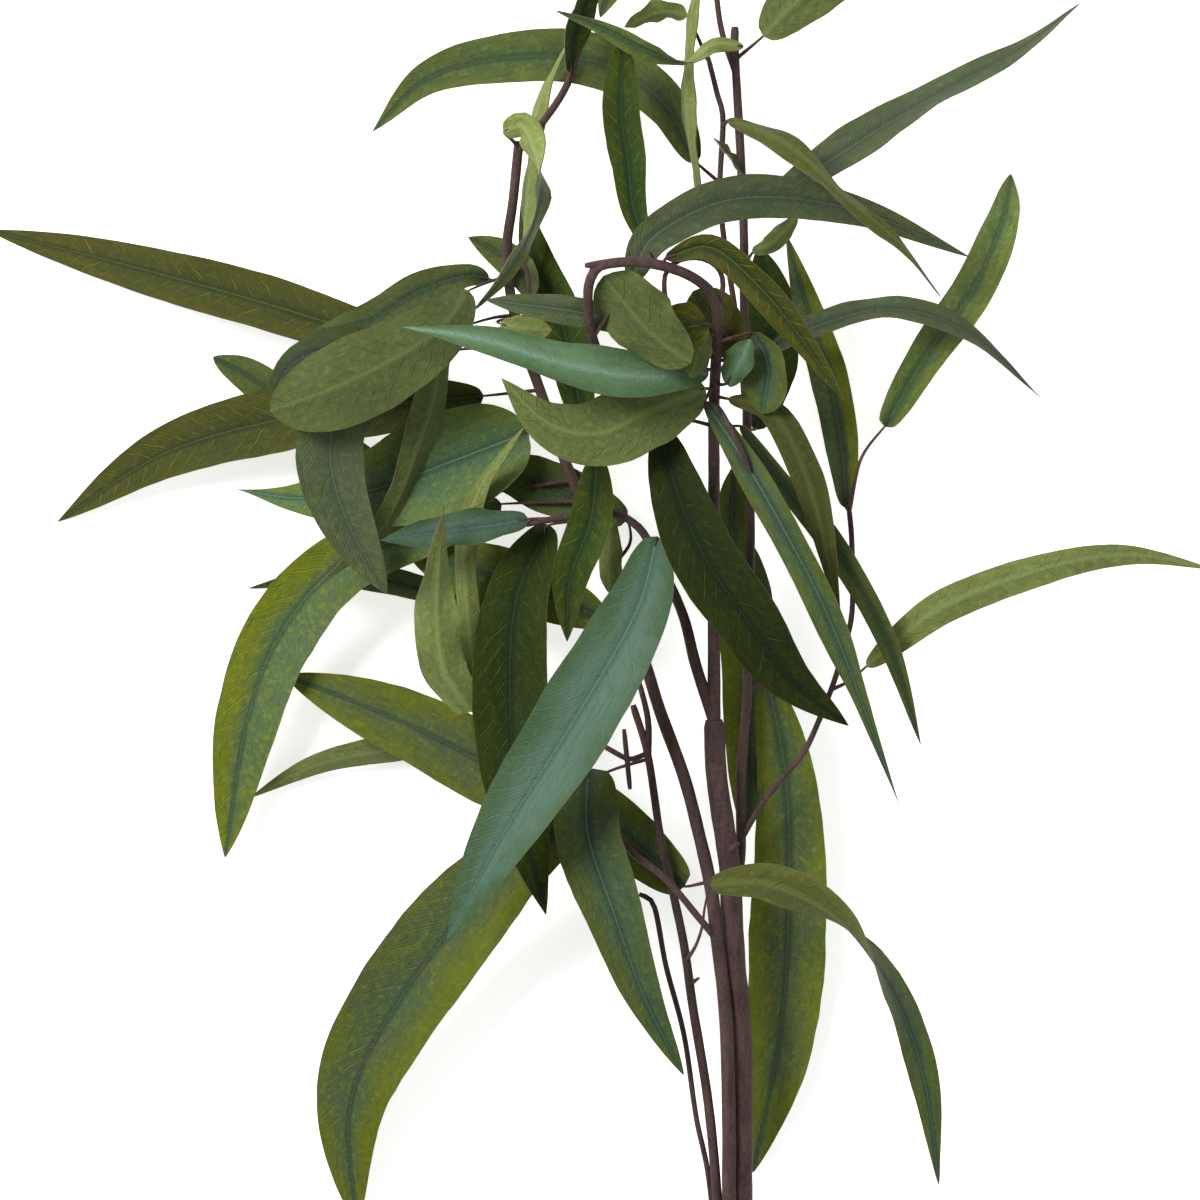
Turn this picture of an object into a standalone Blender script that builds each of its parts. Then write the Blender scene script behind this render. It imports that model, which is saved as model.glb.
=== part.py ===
# A cut branch of long-leaved eucalyptus, lying on a table and seen from above.
# Its brown stems share one cut end. Each leafy stem is one solid with its leaves.

import math
from collections import namedtuple

import bmesh
import bpy
from mathutils import Matrix, Vector

# Millimetres, in a drawing laid over the branch: u to the right, v towards the tips, h above the table.
MM = 0.001
DRAWING_MIDDLE = Vector((200.0, 200.0))
STEM_PLANE = 40.0
EYE_DISTANCE = 1600.0
ORIGIN_U = 199.75
ORIGIN_V = 126.6

SEAT_GAP = 0.5
BLADE_THICKNESS = 0.8
BLADE_STATIONS = (0.0, 0.06, 0.2, 0.38, 0.57, 0.76, 0.92, 1.0)
SHORT_BLADE_STATIONS = (0.0, 0.1, 0.35, 0.62, 0.87, 1.0)
SHORT_BLADE_LENGTH = 45.0
BLADE_TIP_WIDTH = 0.9
FOLD = 0.22
WAVES = 2.5
STALK_WIDTH = 1.8
STEM_SIDES_LEVEL = 1
STEM_STEP = 18.0
TWIG_STEP = 11.0

BRANCH_COLLECTION = "eucalyptus_branch"

BARK = (0.075, 0.036, 0.030, 1.0)
LEAF_GREENS = {
    "nodding_stem": (0.060, 0.130, 0.040, 1.0),
    "left_fork": (0.035, 0.120, 0.085, 1.0),
    "long_left_stem": (0.050, 0.110, 0.030, 1.0),
    "lower_left_twig": (0.090, 0.160, 0.025, 1.0),
    "right_stem": (0.045, 0.120, 0.040, 1.0),
    "right_side_twig": (0.080, 0.150, 0.050, 1.0),
    "thin_top_stem": (0.055, 0.100, 0.030, 1.0),
    "low_stem": (0.075, 0.120, 0.040, 1.0),
}

# Leaf outlines: how the width rises from the base, how late it falls, and how drawn out the tip is.
STRAP = (0.38, 3.6, 0.9)
SICKLE = (0.40, 2.2, 0.95)
POINTED = (0.42, 1.25, 1.0)
DRAWN_OUT = (0.45, 1.2, 1.5)
TAILED = (0.42, 2.5, 1.6)
BLUNT = (0.42, 5.0, 0.7)
ROUND_BASED = (0.26, 1.6, 0.8)
BROAD_BASED = (0.30, 0.6, 0.8)
ROUND_STRAP = (0.26, 3.6, 0.8)
USUAL_WAVE = 0.6

Stem = namedtuple("Stem", "route radii step")
Leaf = namedtuple("Leaf", "root line width roll outline wave", defaults=(SICKLE, USUAL_WAVE))

# The trunk runs from the cut end up to the fork; thinner stems leave it low down.
TRUNK = Stem([(250, -190, 4.5), (249, -120, 11), (248, -60, 18), (247, 1, 24), (247, 51, 30),
              (245, 78, 34), (244, 95, 36), (243, 113, 38), (239, 140, 41), (238, 160, 43)],
             (4.4, 3.5), STEM_STEP)
LONG_LEFT_STEM = Stem([(247, -85, 15), (244, -40, 23), (243, 1, 29), (243, 24, 32), (242, 60, 36),
                       (239, 87, 39), (237, 104, 40), (233, 122, 41), (228, 141, 42),
                       (220, 163, 43), (215, 179, 43), (208, 198, 42), (204, 211, 41),
                       (199, 222, 40), (193, 235, 40), (187, 250, 40), (180, 270, 40),
                       (173, 290, 42), (170, 303, 44), (169, 318, 46), (171, 333, 48),
                       (173, 353, 50)],
                      (2.6, 1.6), STEM_STEP)
LONG_LEFT_JOINT = 6
LOW_STEM = Stem([(247, -110, 12), (242, -50, 20), (239, 1, 26), (236, 33, 30), (231, 64, 33),
                 (228, 85, 35), (224, 104, 36), (220, 122, 36), (216, 148, 34), (211, 165, 33)],
                (2.1, 1.2), STEM_STEP)
LOW_JOINT = 4
WIRE_SHOOT = Stem([(247, -125, 10), (241, -60, 17), (237, 1, 24), (232, 28, 28), (228, 55, 30),
                   (222, 78, 32), (218, 98, 33), (213, 102, 33)],
                  (1.0, 0.9), STEM_STEP)
WIRE_JOINT = 4
RIGHT_STEM = Stem([(245, 90, 36), (246, 107, 32), (247, 117, 31.5), (247, 140, 33),
                   (249, 167, 36), (249, 187, 38), (250, 213, 40), (250, 233, 41), (249, 257, 42),
                   (249, 273, 43), (248, 300, 45), (248, 320, 46), (247, 346, 48), (245, 382, 50),
                   (245, 391, 50)],
                  (1.7, 1.4), STEM_STEP)
RIGHT_JOINT = 2
NODDING_STEM = Stem([(238, 160, 43), (238, 177, 45.5), (238, 190, 47.5), (238, 213, 51),
                     (238, 240, 57), (238, 265, 68), (239, 287, 82), (239, 297, 91),
                     (236.5, 303, 97), (231, 307.5, 102), (224, 310.5, 106), (215, 312.5, 109),
                     (206, 312.5, 111), (199.5, 311, 111), (196.5, 306, 109), (196, 299, 105),
                     (197, 290, 99), (199, 283, 94)],
                    (2.2, 1.5), TWIG_STEP)
NODDING_JOINT = 1
LEFT_FORK = Stem([(238, 160, 43), (232, 178, 46.5), (228, 194, 50), (222, 208, 53), (217, 218, 55),
                  (212, 225, 56), (203, 229, 57), (185, 227, 59), (174, 225, 60)],
                 (2.1, 1.0), STEM_STEP)
LEFT_FORK_JOINT = 1
LOWER_LEFT_TWIG = Stem([(238, 88, 39), (233, 94, 43), (222, 107, 47), (213, 114, 46),
                        (209, 118, 45), (200, 133, 43), (196, 144, 44)],
                       (1.2, 1.1), TWIG_STEP)
LOWER_LEFT_JOINT = 1
RIGHT_SIDE_TWIG = Stem([(247, 120, 31.5), (254, 132, 37), (263, 143, 40), (269, 151, 42),
                        (277, 170, 45), (281, 183, 46), (284, 196, 48), (284, 218, 50),
                        (283, 231, 52)],
                       (1.0, 0.9), TWIG_STEP)
RIGHT_SIDE_JOINT = 1
THIN_TOP_STEM = Stem([(249, 257, 42), (248, 268, 39), (246, 290, 37), (241, 323, 38),
                      (240, 339, 46), (241, 360, 50), (239, 369, 51), (236, 381, 52)],
                     (1.0, 0.9), TWIG_STEP)
THIN_TOP_JOINT = 1

# Short bare twigs, petiole loops and buds that belong to a stem.
TRUNK_BUDS = (
    Stem([(243, 116, 40), (246, 119, 45)], (1.6, 0.8), TWIG_STEP),
    Stem([(239, 146, 42), (236, 148, 47)], (1.6, 0.8), TWIG_STEP),
)
NODDING_EXTRAS = (
    Stem([(202, 312, 111), (195, 311.5, 112)], (1.6, 0.9), TWIG_STEP),
    Stem([(239, 295, 89), (241, 305, 97), (239, 311, 101), (233, 314, 103), (226, 313, 104),
          (222, 309, 103), (221.5, 303, 101), (223, 296, 98)], (0.9, 0.8), TWIG_STEP),
    Stem([(238, 266, 69), (241.5, 261, 80), (246, 252, 84), (250, 243, 82)], (0.9, 0.8), TWIG_STEP),
)
LONG_LEFT_EXTRAS = (
    Stem([(173, 350, 50), (180, 358, 52), (190, 374, 54), (195, 397, 56), (200, 427, 57)],
         (1.3, 1.0), STEM_STEP),
    Stem([(169, 311, 45), (174, 312, 50), (176, 308, 51), (176, 302, 50), (175, 298, 48)],
         (0.9, 0.8), TWIG_STEP),
)
RIGHT_EXTRAS = (
    Stem([(245, 376, 50), (241, 388, 51), (239, 400, 52), (237, 425, 54)], (1.0, 0.9), STEM_STEP),
)
LOW_EXTRAS = (
    Stem([(216, 148, 34), (216, 160, 33), (213, 173, 32)], (1.2, 0.9), TWIG_STEP),
    Stem([(216, 149, 34), (211, 147, 35), (209, 147, 36), (200, 152, 37)], (0.9, 0.9), TWIG_STEP),
    Stem([(209, 147, 36), (210, 137, 34)], (0.9, 0.8), TWIG_STEP),
    Stem([(209, 147, 36), (208, 157, 36)], (0.9, 0.8), TWIG_STEP),
    Stem([(230, 72, 34), (233, 74, 37)], (0.9, 0.5), TWIG_STEP),
)

# Each leaf: its root on the stem, the points its midrib passes, its width, its roll at even steps
# from base to tip, its outline and the height of the waves along its margins.
# A roll of 0 turns the upper face up, and 180 turns it down.
NODDING_LEAVES = {
    "front_pale_sickle": Leaf([(238, 270, 71)], [(235, 270.5, 75), (216, 263, 84), (199.5, 255.5, 88),
                              (182.5, 259, 92), (167, 274, 96)], 24, (175, 185), POINTED, 0.9),
    "front_teal_sickle": Leaf([(238, 276, 75)], [(236, 277, 78), (213, 274.5, 98), (187, 279, 104),
                              (160, 287, 104), (134, 291, 100)], 16, (20, 25), POINTED, 1.4),
    "hanging_dark_blade": Leaf([(238, 258, 65), (228, 260, 68)], [(220, 257, 70),
                               (226, 235, 73), (235, 214, 75), (250, 192, 73), (264, 173, 66),
                               (283, 158, 56)], 22, (0, 10), SICKLE),
    "hanging_teal_blade": Leaf([(238, 272, 72)], [(235, 266, 75), (247, 248, 80), (261, 224, 82),
                               (278, 190, 77), (300, 131, 60)], 11, (10, 30), TAILED, 1.2),
    "hanging_olive_blade": Leaf([(238, 268, 70)], [(243, 267, 72), (257, 263, 74), (267, 246, 73),
                                (274, 223, 70), (281, 188, 66)], 10.5, (165, 195, 210), TAILED),
    "right_drooping_blade": Leaf([(238, 257, 64)], [(247, 258, 66), (262, 238, 63), (279, 217, 60),
                                 (296, 186, 55), (307, 151.5, 48)], 8.5, (30, 10), SICKLE),
    "arching_teal_blade": Leaf([(198, 288, 98), (204, 297, 100)],
                               [(210, 306, 101), (219, 322, 98), (247, 334, 85),
                               (285, 330, 70), (324, 314, 60)], 14.5, (-10, 10), POINTED, 1.0),
    "arching_dark_blade": Leaf([(221, 311, 106)], [(222, 314, 107), (237, 317.5, 109),
                               (253, 304.5, 107), (266.5, 288, 101), (281, 267, 93)], 10.5, (20, 30),
                               SICKLE, 0.8),
    "upright_vein_blade": Leaf([(217, 312, 107)], [(216, 317, 99), (211, 331, 90), (209.5, 345, 81),
                               (207, 363, 71), (207.5, 386, 62)], 12.5, (10, 0), BLUNT),
    "knot_pale_leaf": Leaf([(223, 296, 98), (227, 287, 98)], [(230, 279, 99), (216, 290, 103),
                           (201, 308, 107)], 23, (165, 150), BLUNT, 1.8),
    "knot_olive_leaf": Leaf([(239, 290, 85)], [(236, 292, 88), (227, 290, 91), (212, 281, 93)],
                            17, (10, -10), SICKLE, 1.4),
    "knot_small_leaf": Leaf([(239, 288, 83)], [(236, 289, 87), (233, 284, 90), (230, 274, 91)],
                            11, (170, 150), STRAP, 1.0),
    "knot_bright_leaf": Leaf([(238, 272, 72)], [(242, 272, 77), (247, 280, 83), (250, 287, 87)],
                             10, (-20, -20), STRAP, 1.0),
    "knot_dark_leaf": Leaf([(239, 286, 82), (246, 288, 82)], [(251, 289, 80), (256, 278, 79),
                           (254, 262, 75)], 15, (30, 20), BLUNT, 1.0),
    "knot_upper_leaf": Leaf([(238, 280, 77)], [(247, 280, 77), (241, 290, 78), (231, 303, 77)],
                            17, (10, -10), BLUNT, 1.4),
    "front_grey_leaf": Leaf([(238, 281, 78), (231, 282, 82)], [(224, 285, 86), (213, 290, 92),
                            (203, 294, 96), (186, 297, 100), (162, 300, 103)], 9.5, (10, -10, 15),
                            STRAP, 0.8),
}
LEFT_FORK_LEAVES = {
    "great_teal_sickle": Leaf([(219, 214, 54)], [(219, 221, 60), (212, 196, 71), (192, 161, 78),
                              (167, 121, 74), (149, 87, 62)], 26.5, (0, 10), SICKLE),
    "teal_twig_leaf": Leaf([(185, 227, 59)], [(176, 227, 61), (165, 225, 64), (150, 223, 66),
                           (127, 220, 68)], 12, (25, 15), SICKLE, 1.4),
}
LONG_LEFT_LEAVES = {
    "far_left_blade": Leaf([(175, 284, 41), (160, 284, 41)], [(147, 283, 40), (118, 290, 34),
                           (83, 300.5, 28), (39, 312.5, 20), (-5, 323.5, 14)], 18.5, (0, 5), SICKLE,
                           0.8),
    "left_resting_blade": Leaf([(180, 270, 40)], [(161, 268, 36), (130, 265, 30), (97, 261, 22),
                               (55, 249, 12), (19, 226, 0.5)], 22, (0, 0), SICKLE),
    "left_hidden_blade": Leaf([(191, 240, 40), (165, 236, 34)], [(143, 233, 26), (110, 253, 14),
                              (87, 272, 10), (71, 281, 8)], 14, (0, 0), BLUNT),
    "front_pale_blade": Leaf([(169, 308, 45), (163, 306, 58)], [(156, 303, 68), (148, 292, 78),
                             (134, 282, 83), (112, 271, 82), (90, 263, 76)], 28, (175, 185),
                             BLUNT, 1.6),
    "dark_folded_blade": Leaf([(173, 291, 42), (163, 290, 54)], [(153, 288, 60), (125, 285, 62),
                              (106, 283, 61), (95, 276, 58), (89.5, 261, 54)], 12.5, (10, 10, 20)),
    "upper_green_blade": Leaf([(170, 305, 44)], [(163, 307, 52), (155, 308, 55), (140, 303, 57),
                              (123, 293, 56), (104, 289, 52)], 12.5, (10, 10), STRAP),
    "hanging_grey_blade": Leaf([(172, 295, 42), (164, 294, 54)], [(154, 291, 63), (134, 281, 70),
                               (116, 266, 69), (110, 250, 64), (115, 228, 58), (129, 202, 52)],
                               22, (0, 0), STRAP),
    "hanging_olive_strip": Leaf([(174, 287, 42), (167, 290, 52)], [(160, 290, 58), (148, 283, 60),
                                (142, 259, 55), (128, 225, 47), (105, 204, 43)], 12, (145, 135),
                                POINTED, 1.2),
    "long_bright_sickle": Leaf([(194, 233, 40)], [(167, 232, 38), (147, 225, 36), (114, 212, 32),
                               (93, 188, 26), (82, 158, 20), (75, 114, 8)], 24, (0, -5), STRAP),
    "broad_dark_blade": Leaf([(185, 254, 40)], [(176, 256, 46), (150, 246, 46), (125, 237, 42),
                             (100, 234, 36), (78, 237, 30)], 34, (0, 0), DRAWN_OUT, 1.0),
    "narrow_dark_strip": Leaf([(208, 198, 42)], [(180, 193, 27), (157, 198, 22), (140, 203, 18),
                              (113, 208, 14), (83, 204, 8)], 13, (45, 45)),
    "mottled_blade": Leaf([(211, 190, 42)], [(202, 193, 38), (180, 203, 35), (157, 210, 32),
                          (136, 215, 29)], 21, (0, 0), STRAP),
    "deep_green_blade": Leaf([(197, 227, 40)], [(183, 225, 50), (172, 200, 54), (170, 167, 52),
                             (173, 133, 50), (182, 95, 48)], 25, (0, 0), SICKLE),
    "stem_side_blade": Leaf([(192, 238, 40), (198, 244, 48)], [(199, 248, 56), (197, 227, 64),
                            (190, 207, 61), (189, 186, 56)], 14, (0, 0), SICKLE),
    "back_dark_blade": Leaf([(204, 211, 41), (210, 219, 41)], [(209, 227, 40), (190, 235, 36),
                            (173, 241, 36), (160, 243, 38)], 18, (0, 0), STRAP),
    "round_based_blade": Leaf([(236, 106, 40)], [(228, 104.5, 30), (199, 128, 29), (167, 143, 26),
                              (133, 160, 22), (95, 175, 18)], 26, (0, 0), ROUND_STRAP),
    "back_upright_blade": Leaf([(187, 250, 40)], [(195, 256, 38), (188, 290, 34), (179, 313, 30),
                               (174, 335, 26)], 15, (0, 0), SICKLE),
    "small_mid_leaf": Leaf([(170, 300, 44)], [(177, 301, 42), (174, 309, 40), (166, 316, 38),
                           (156, 321, 38)], 11, (0, 0), SICKLE),
    "twisted_pale_blade": Leaf([(173, 350, 50), (171, 353, 53)], [(168, 356, 57), (175, 357, 60),
                               (180, 341, 65), (177, 324, 72), (168, 308, 79), (158, 296.5, 82)], 11.5,
                               (195, 240, 290, 292, 295, 320), ROUND_BASED, 1.2),
    "edge_on_strip": Leaf([(169, 312, 45)], [(175, 317, 44), (176, 340, 46), (180, 366, 48),
                          (190, 387, 51)], 11, (115, 115)),
    "top_folded_leaf": Leaf([(189, 372, 54)], [(190, 376, 56), (191, 387, 59), (195, 400, 61),
                            (201, 420, 60)], 12, (50, 55)),
    "top_hanging_tip": Leaf([(200, 427, 57)], [(203, 425, 59), (205, 410, 61), (200, 394, 62)],
                            10, (0, 0)),
    "small_turned_leaf": Leaf([(172, 294, 42), (166, 293, 56)], [(167, 292, 62), (175, 290.5, 66),
                              (184, 290, 66)], 9, (180, 190), STRAP, 1.2),
    "pale_sliver": Leaf([(208, 198, 42)], [(204, 202, 44), (203, 215, 47), (205, 227, 48)],
                        9, (150, 150)),
}
LOWER_LEFT_LEAVES = {
    "great_bright_sickle": Leaf([(206, 122, 44)], [(192, 126, 40), (168, 110, 35), (136, 71, 27),
                                (117, 33, 17), (119, -10, 8)], 32, (0, 0), SICKLE),
    "lower_hanging_blade": Leaf([(196.5, 143, 44)], [(196, 144, 48), (196, 122, 52), (204.5, 96, 53),
                                (215, 67, 49), (228, 41.5, 41)], 22, (0, 0), BROAD_BASED),
}
RIGHT_LEAVES = {
    "right_long_blade": Leaf([(247, 337, 47)], [(257, 333, 50), (282, 350, 48), (309, 366.5, 44),
                             (340, 383.5, 38), (360, 399, 30)], 15, (-20, -45, -50), POINTED, 0.9),
    "thin_arching_strip": Leaf([(249, 283, 44)], [(253, 280.5, 48), (269, 290, 57), (296, 297, 59),
                               (322, 289.5, 53), (347, 267.5, 40)], 10, (-40, -30), TAILED, 0.9),
    "back_broad_blade": Leaf([(249, 257, 42)], [(252, 257, 34), (257, 277, 24), (257, 297, 20),
                             (253, 318, 18)], 18, (0, 0), STRAP),
    "pale_side_leaf": Leaf([(248, 311, 46)], [(251, 316, 50), (258, 319.5, 54), (266, 328, 56)],
                           6.5, (170, 195), STRAP, 1.4),
    "top_front_strip": Leaf([(245, 384, 50)], [(247.5, 384.5, 56), (238, 385, 62), (229, 379.5, 69),
                            (217, 382.5, 73), (201, 390.5, 76), (185, 396.5, 78)], 7,
                            (185, 215, 330, 340, 335), SICKLE, 1.0),
    "top_right_leaf": Leaf([(245, 380, 50)], [(254.5, 388, 52), (265, 399, 54), (281, 413, 52),
                           (298, 428, 48)], 21, (180, 180), STRAP),
    "long_yellow_edged_blade": Leaf([(249, 170, 36)], [(256, 173, 30), (262, 140, 21),
                                    (263, 100, 13), (260, 55, 8), (251, 9, 3)], 26, (0, 0), STRAP),
    "behind_stem_blade": Leaf([(247, 125, 32)], [(249, 124, 26), (249, 150, 19), (249.5, 182, 22),
                              (248, 221, 29)], 19, (0, 0), BLUNT),
    "behind_stem_strip": Leaf([(250, 205, 40)], [(245, 207, 37), (244, 230, 35), (245, 246, 35)],
                              11, (0, 0)),
    "edge_on_sliver": Leaf([(247, 338, 47)], [(248, 341, 50), (243, 348, 53), (238, 354, 55)],
                           8, (70, 70)),
    "crown_left_leaf": Leaf([(237, 420, 54)], [(236, 425, 55), (228, 436, 57), (213, 444, 54),
                            (196, 446, 46)], 16, (0, 0)),
    "crown_right_leaf": Leaf([(237, 424, 54)], [(239, 426, 55), (247, 436, 56), (262, 446, 52),
                             (280, 449, 42)], 16, (0, 0)),
}
RIGHT_SIDE_LEAVES = {
    "right_reaching_blade": Leaf([(277, 170, 45), (283, 173, 46)], [(289, 178, 46),
                                 (315, 198, 48), (350, 211, 44), (377, 215, 36), (406, 210, 26)],
                                 11.5, (180, 165), POINTED, 1.0),
    "right_resting_blade": Leaf([(283, 229, 52), (287, 247, 52)], [(295, 258, 48),
                                (309, 282, 42), (324, 303, 32), (334, 326, 17), (337, 342, 0.5)],
                                14, (0, 0), ROUND_STRAP, 0.9),
    "back_two_toned_blade": Leaf([(283, 230, 52)], [(282, 231, 50), (280.5, 252, 42),
                                 (276, 275, 36), (269, 298, 31), (262, 322, 27)], 12.5, (0, 0), SICKLE),
}
THIN_TOP_LEAVES = {
    "crossing_olive_blade": Leaf([(241, 358, 50)], [(243, 360, 57), (263, 351.5, 77),
                                 (282, 334, 87), (300, 318.5, 85), (313.5, 301, 79)], 8,
                                 (165, 140, 130), POINTED, 1.4),
    "top_left_sickle": Leaf([(240, 339, 46)], [(232, 346, 44), (221, 366, 42), (200, 379, 40),
                            (172, 381, 38), (143, 374, 34), (124, 356, 26)], 18, (0, 0), SICKLE, 0.9),
    "top_back_strip": Leaf([(236, 380, 52)], [(229, 395, 50), (220, 396, 50), (208, 391, 50)],
                           9, (130, 130), SICKLE, 1.0),
    "top_edge_on_blade": Leaf([(240, 332, 43)], [(233, 335, 49), (229, 360, 52), (229, 383, 55),
                              (234, 415, 57)], 10, (110, 115)),
}
LOW_LEAVES = {
    "rising_pale_blade": Leaf([(201, 151, 37), (180, 156, 40)], [(157, 163, 46), (148, 177, 56),
                              (145.5, 194, 66), (146, 211, 74), (148, 232, 78)], 15,
                              (180, 170, 190, 215, 290), ROUND_BASED, 2.2),
    "rising_pale_strip": Leaf([(201, 151, 37), (178, 158, 39)], [(159, 170, 43), (156, 197, 45),
                              (155, 217, 49), (160, 237, 55), (175, 258, 62)], 8, (180, 160, 150),
                              SICKLE, 1.2),
    "back_pale_strip": Leaf([(216, 147, 34), (206, 144, 26)], [(195, 140, 21), (153, 152, 15),
                            (123, 149, 11), (103, 144, 8), (83, 134, 4)], 12, (150, 150)),
    "twisting_front_blade": Leaf([(229, 80, 35), (232, 85, 48), (234, 91, 56), (235, 98, 60)],
                                 [(237, 105, 62), (257, 105, 66), (280, 93, 62), (298, 68, 52),
                                  (308, 40, 42), (313, 5, 30)], 15,
                                 (200, 205, 245, 310, 340, 345, 335), ROUND_BASED, 1.0),
}


def place(point):
    """A drawing point as a point of the branch in metres, drawn in towards the eye by its height."""
    u, v, h = point
    nearness = (EYE_DISTANCE - (h - STEM_PLANE)) / EYE_DISTANCE
    flat = DRAWING_MIDDLE + (Vector((u, v)) - DRAWING_MIDDLE) * nearness
    return Vector(((flat.x - ORIGIN_U) * MM, (flat.y - ORIGIN_V) * MM, h * MM))


def spline_point(before, start, end, after, t):
    """One point of a Catmull-Rom stretch between start and end."""
    return 0.5 * (2.0 * start + (end - before) * t
                  + (2.0 * before - 5.0 * start + 4.0 * end - after) * t * t
                  + (3.0 * start - before - 3.0 * end + after) * t * t * t)


def curve_at(points, fraction):
    """The point at a fraction of the way along the smooth curve through the points."""
    lengths = [(b - a).length for a, b in zip(points, points[1:])]
    distance = min(max(fraction, 0.0), 1.0) * sum(lengths)
    last = len(lengths) - 1
    index = 0
    while index < last and distance > lengths[index]:
        distance -= lengths[index]
        index += 1
    start = points[index]
    end = points[index + 1]
    before = points[index - 1] if index > 0 else start * 2.0 - end
    after = points[index + 2] if index < last else end * 2.0 - start
    return spline_point(before, start, end, after, distance / lengths[index])


def route_length(points):
    return sum((b - a).length for a, b in zip(points, points[1:]))


def tube(name, points, radii, step):
    """A round stem as a bevelled poly curve with closed ends, turned into a mesh."""
    count = max(2, round(route_length(points) / (step * MM)) + 1)
    curve = bpy.data.curves.new(name, "CURVE")
    curve.dimensions = "3D"
    curve.bevel_depth = MM
    curve.bevel_resolution = STEM_SIDES_LEVEL
    curve.use_fill_caps = True
    spline = curve.splines.new("POLY")
    spline.points.add(count - 1)
    for index in range(count):
        fraction = index / (count - 1)
        spline.points[index].co = (*curve_at(points, fraction), 1.0)
        spline.points[index].radius = radii[0] + (radii[1] - radii[0]) * fraction
    curve_object = bpy.data.objects.new(name, curve)
    bpy.context.scene.collection.objects.link(curve_object)
    evaluated = curve_object.evaluated_get(bpy.context.evaluated_depsgraph_get())
    mesh = bpy.data.meshes.new_from_object(evaluated)
    bpy.data.objects.remove(curve_object)
    weld(mesh)
    return new_object(name, mesh)


def weld(mesh):
    welded = bmesh.new()
    welded.from_mesh(mesh)
    bmesh.ops.remove_doubles(welded, verts=welded.verts, dist=0.00001)
    bmesh.ops.recalc_face_normals(welded, faces=welded.faces)
    welded.to_mesh(mesh)
    welded.free()


def new_object(name, mesh):
    piece = bpy.data.objects.new(name, mesh)
    bpy.context.scene.collection.objects.link(piece)
    return piece


def width_at(fraction, outline):
    """Share of the full width, rising from the base and falling to the tip as the outline says."""
    rise, fall, point = outline
    belly = rise / (rise + fall * point)
    most = belly ** (rise / fall) * (1.0 - belly) ** point
    return fraction ** rise * (1.0 - fraction ** fall) ** point / most


def roll_at(rolls, fraction):
    """The roll in degrees at a fraction of the length, read between evenly spaced values."""
    steps = len(rolls) - 1
    index = min(int(fraction * steps), steps - 1)
    share = fraction * steps - index
    return rolls[index] + (rolls[index + 1] - rolls[index]) * share


def across_at(line, leaf, t):
    """The direction of the leaf there, and the direction from its left margin to its right one."""
    along = (curve_at(line, min(t + 0.02, 1.0)) - curve_at(line, max(t - 0.02, 0.0))).normalized()
    level = along.cross(Vector((0.0, 0.0, 1.0))).normalized()
    roll = math.radians(roll_at(leaf.roll, t))
    return along, Matrix.Rotation(roll, 3, along) @ level


def stalk_sections(leaf, line):
    """The leaf's stalk, from the middle of its stem to the foot of the blade."""
    points = [place(point) for point in leaf.root] + [line[0]]
    blade_across = across_at(line, leaf, 0.0)[1]
    half = 0.5 * STALK_WIDTH * MM
    sections = []
    for point, following in zip(points, points[1:]):
        along = (following - point).normalized()
        across = (blade_across - along * blade_across.dot(along)).normalized()
        up = across.cross(along).normalized()
        sections.append((point - across * half, point, point + across * half, up * half))
    return sections


def blade_sections(leaf, phase):
    """Left margin, midrib and right margin of each station, with half the thickness there."""
    line = [place(point) for point in leaf.line]
    length = route_length(line)
    stations = BLADE_STATIONS if length > SHORT_BLADE_LENGTH * MM else SHORT_BLADE_STATIONS
    sections = stalk_sections(leaf, line)
    for t in stations:
        middle = curve_at(line, t)
        along, across = across_at(line, leaf, t)
        up = across.cross(along).normalized()
        share = width_at(t, leaf.outline)
        width = max(leaf.width * share, BLADE_TIP_WIDTH if t > 0.5 else STALK_WIDTH)
        half = 0.5 * width * MM
        lift = half * FOLD * share
        wave = leaf.wave * MM * math.sin(math.tau * WAVES * t + phase) * share
        left = middle - across * half + up * (lift + wave)
        right = middle + across * half + up * (lift - wave)
        thickness = BLADE_THICKNESS if t > 0.0 else STALK_WIDTH
        sections.append((left, middle, right, up * (0.5 * thickness * MM)))
    return sections


def leaf_loft(name, leaf, phase):
    """A leaf with its stalk, lofted through its sections and split alike on both faces."""
    vertices = []
    for left, middle, right, half_thick in blade_sections(leaf, phase):
        vertices += [point + half_thick for point in (left, middle, right)]
        vertices += [point - half_thick for point in (right, middle, left)]
    ring = 6
    strips = ((0, 1, False), (1, 2, False), (2, 3, False), (3, 4, True), (4, 5, True), (5, 0, False))
    faces = []
    last = len(vertices) - ring
    for start in range(0, last, ring):
        for a, b, turned in strips:
            near_a, near_b = start + a, start + b
            far_a, far_b = near_a + ring, near_b + ring
            if turned:
                faces += [(near_b, near_a, far_a), (near_b, far_a, far_b)]
            else:
                faces += [(near_b, near_a, far_b), (near_a, far_a, far_b)]
    faces += [(0, 1, 4), (0, 4, 5), (1, 2, 3), (1, 3, 4)]
    faces += [(last + 1, last, last + 4), (last + 4, last, last + 5),
              (last + 2, last + 1, last + 3), (last + 3, last + 1, last + 4)]
    mesh = bpy.data.meshes.new(name)
    mesh.from_pydata([vertex[:] for vertex in vertices], [], faces)
    weld(mesh)
    return new_object(name, mesh)


def stem_tube(name, stem, first=0, last=None):
    """A stem, or the stretch of it between two of its points, with its taper kept."""
    count = len(stem.route)
    last = count - 1 if last is None else last
    points = [place(point) for point in stem.route[first:last + 1]]
    if first > 0:
        points[0] += (points[1] - points[0]).normalized() * SEAT_GAP * MM
    base, tip = stem.radii
    radii = (base + (tip - base) * first / (count - 1), base + (tip - base) * last / (count - 1))
    return tube(name, points, radii, stem.step)


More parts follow.
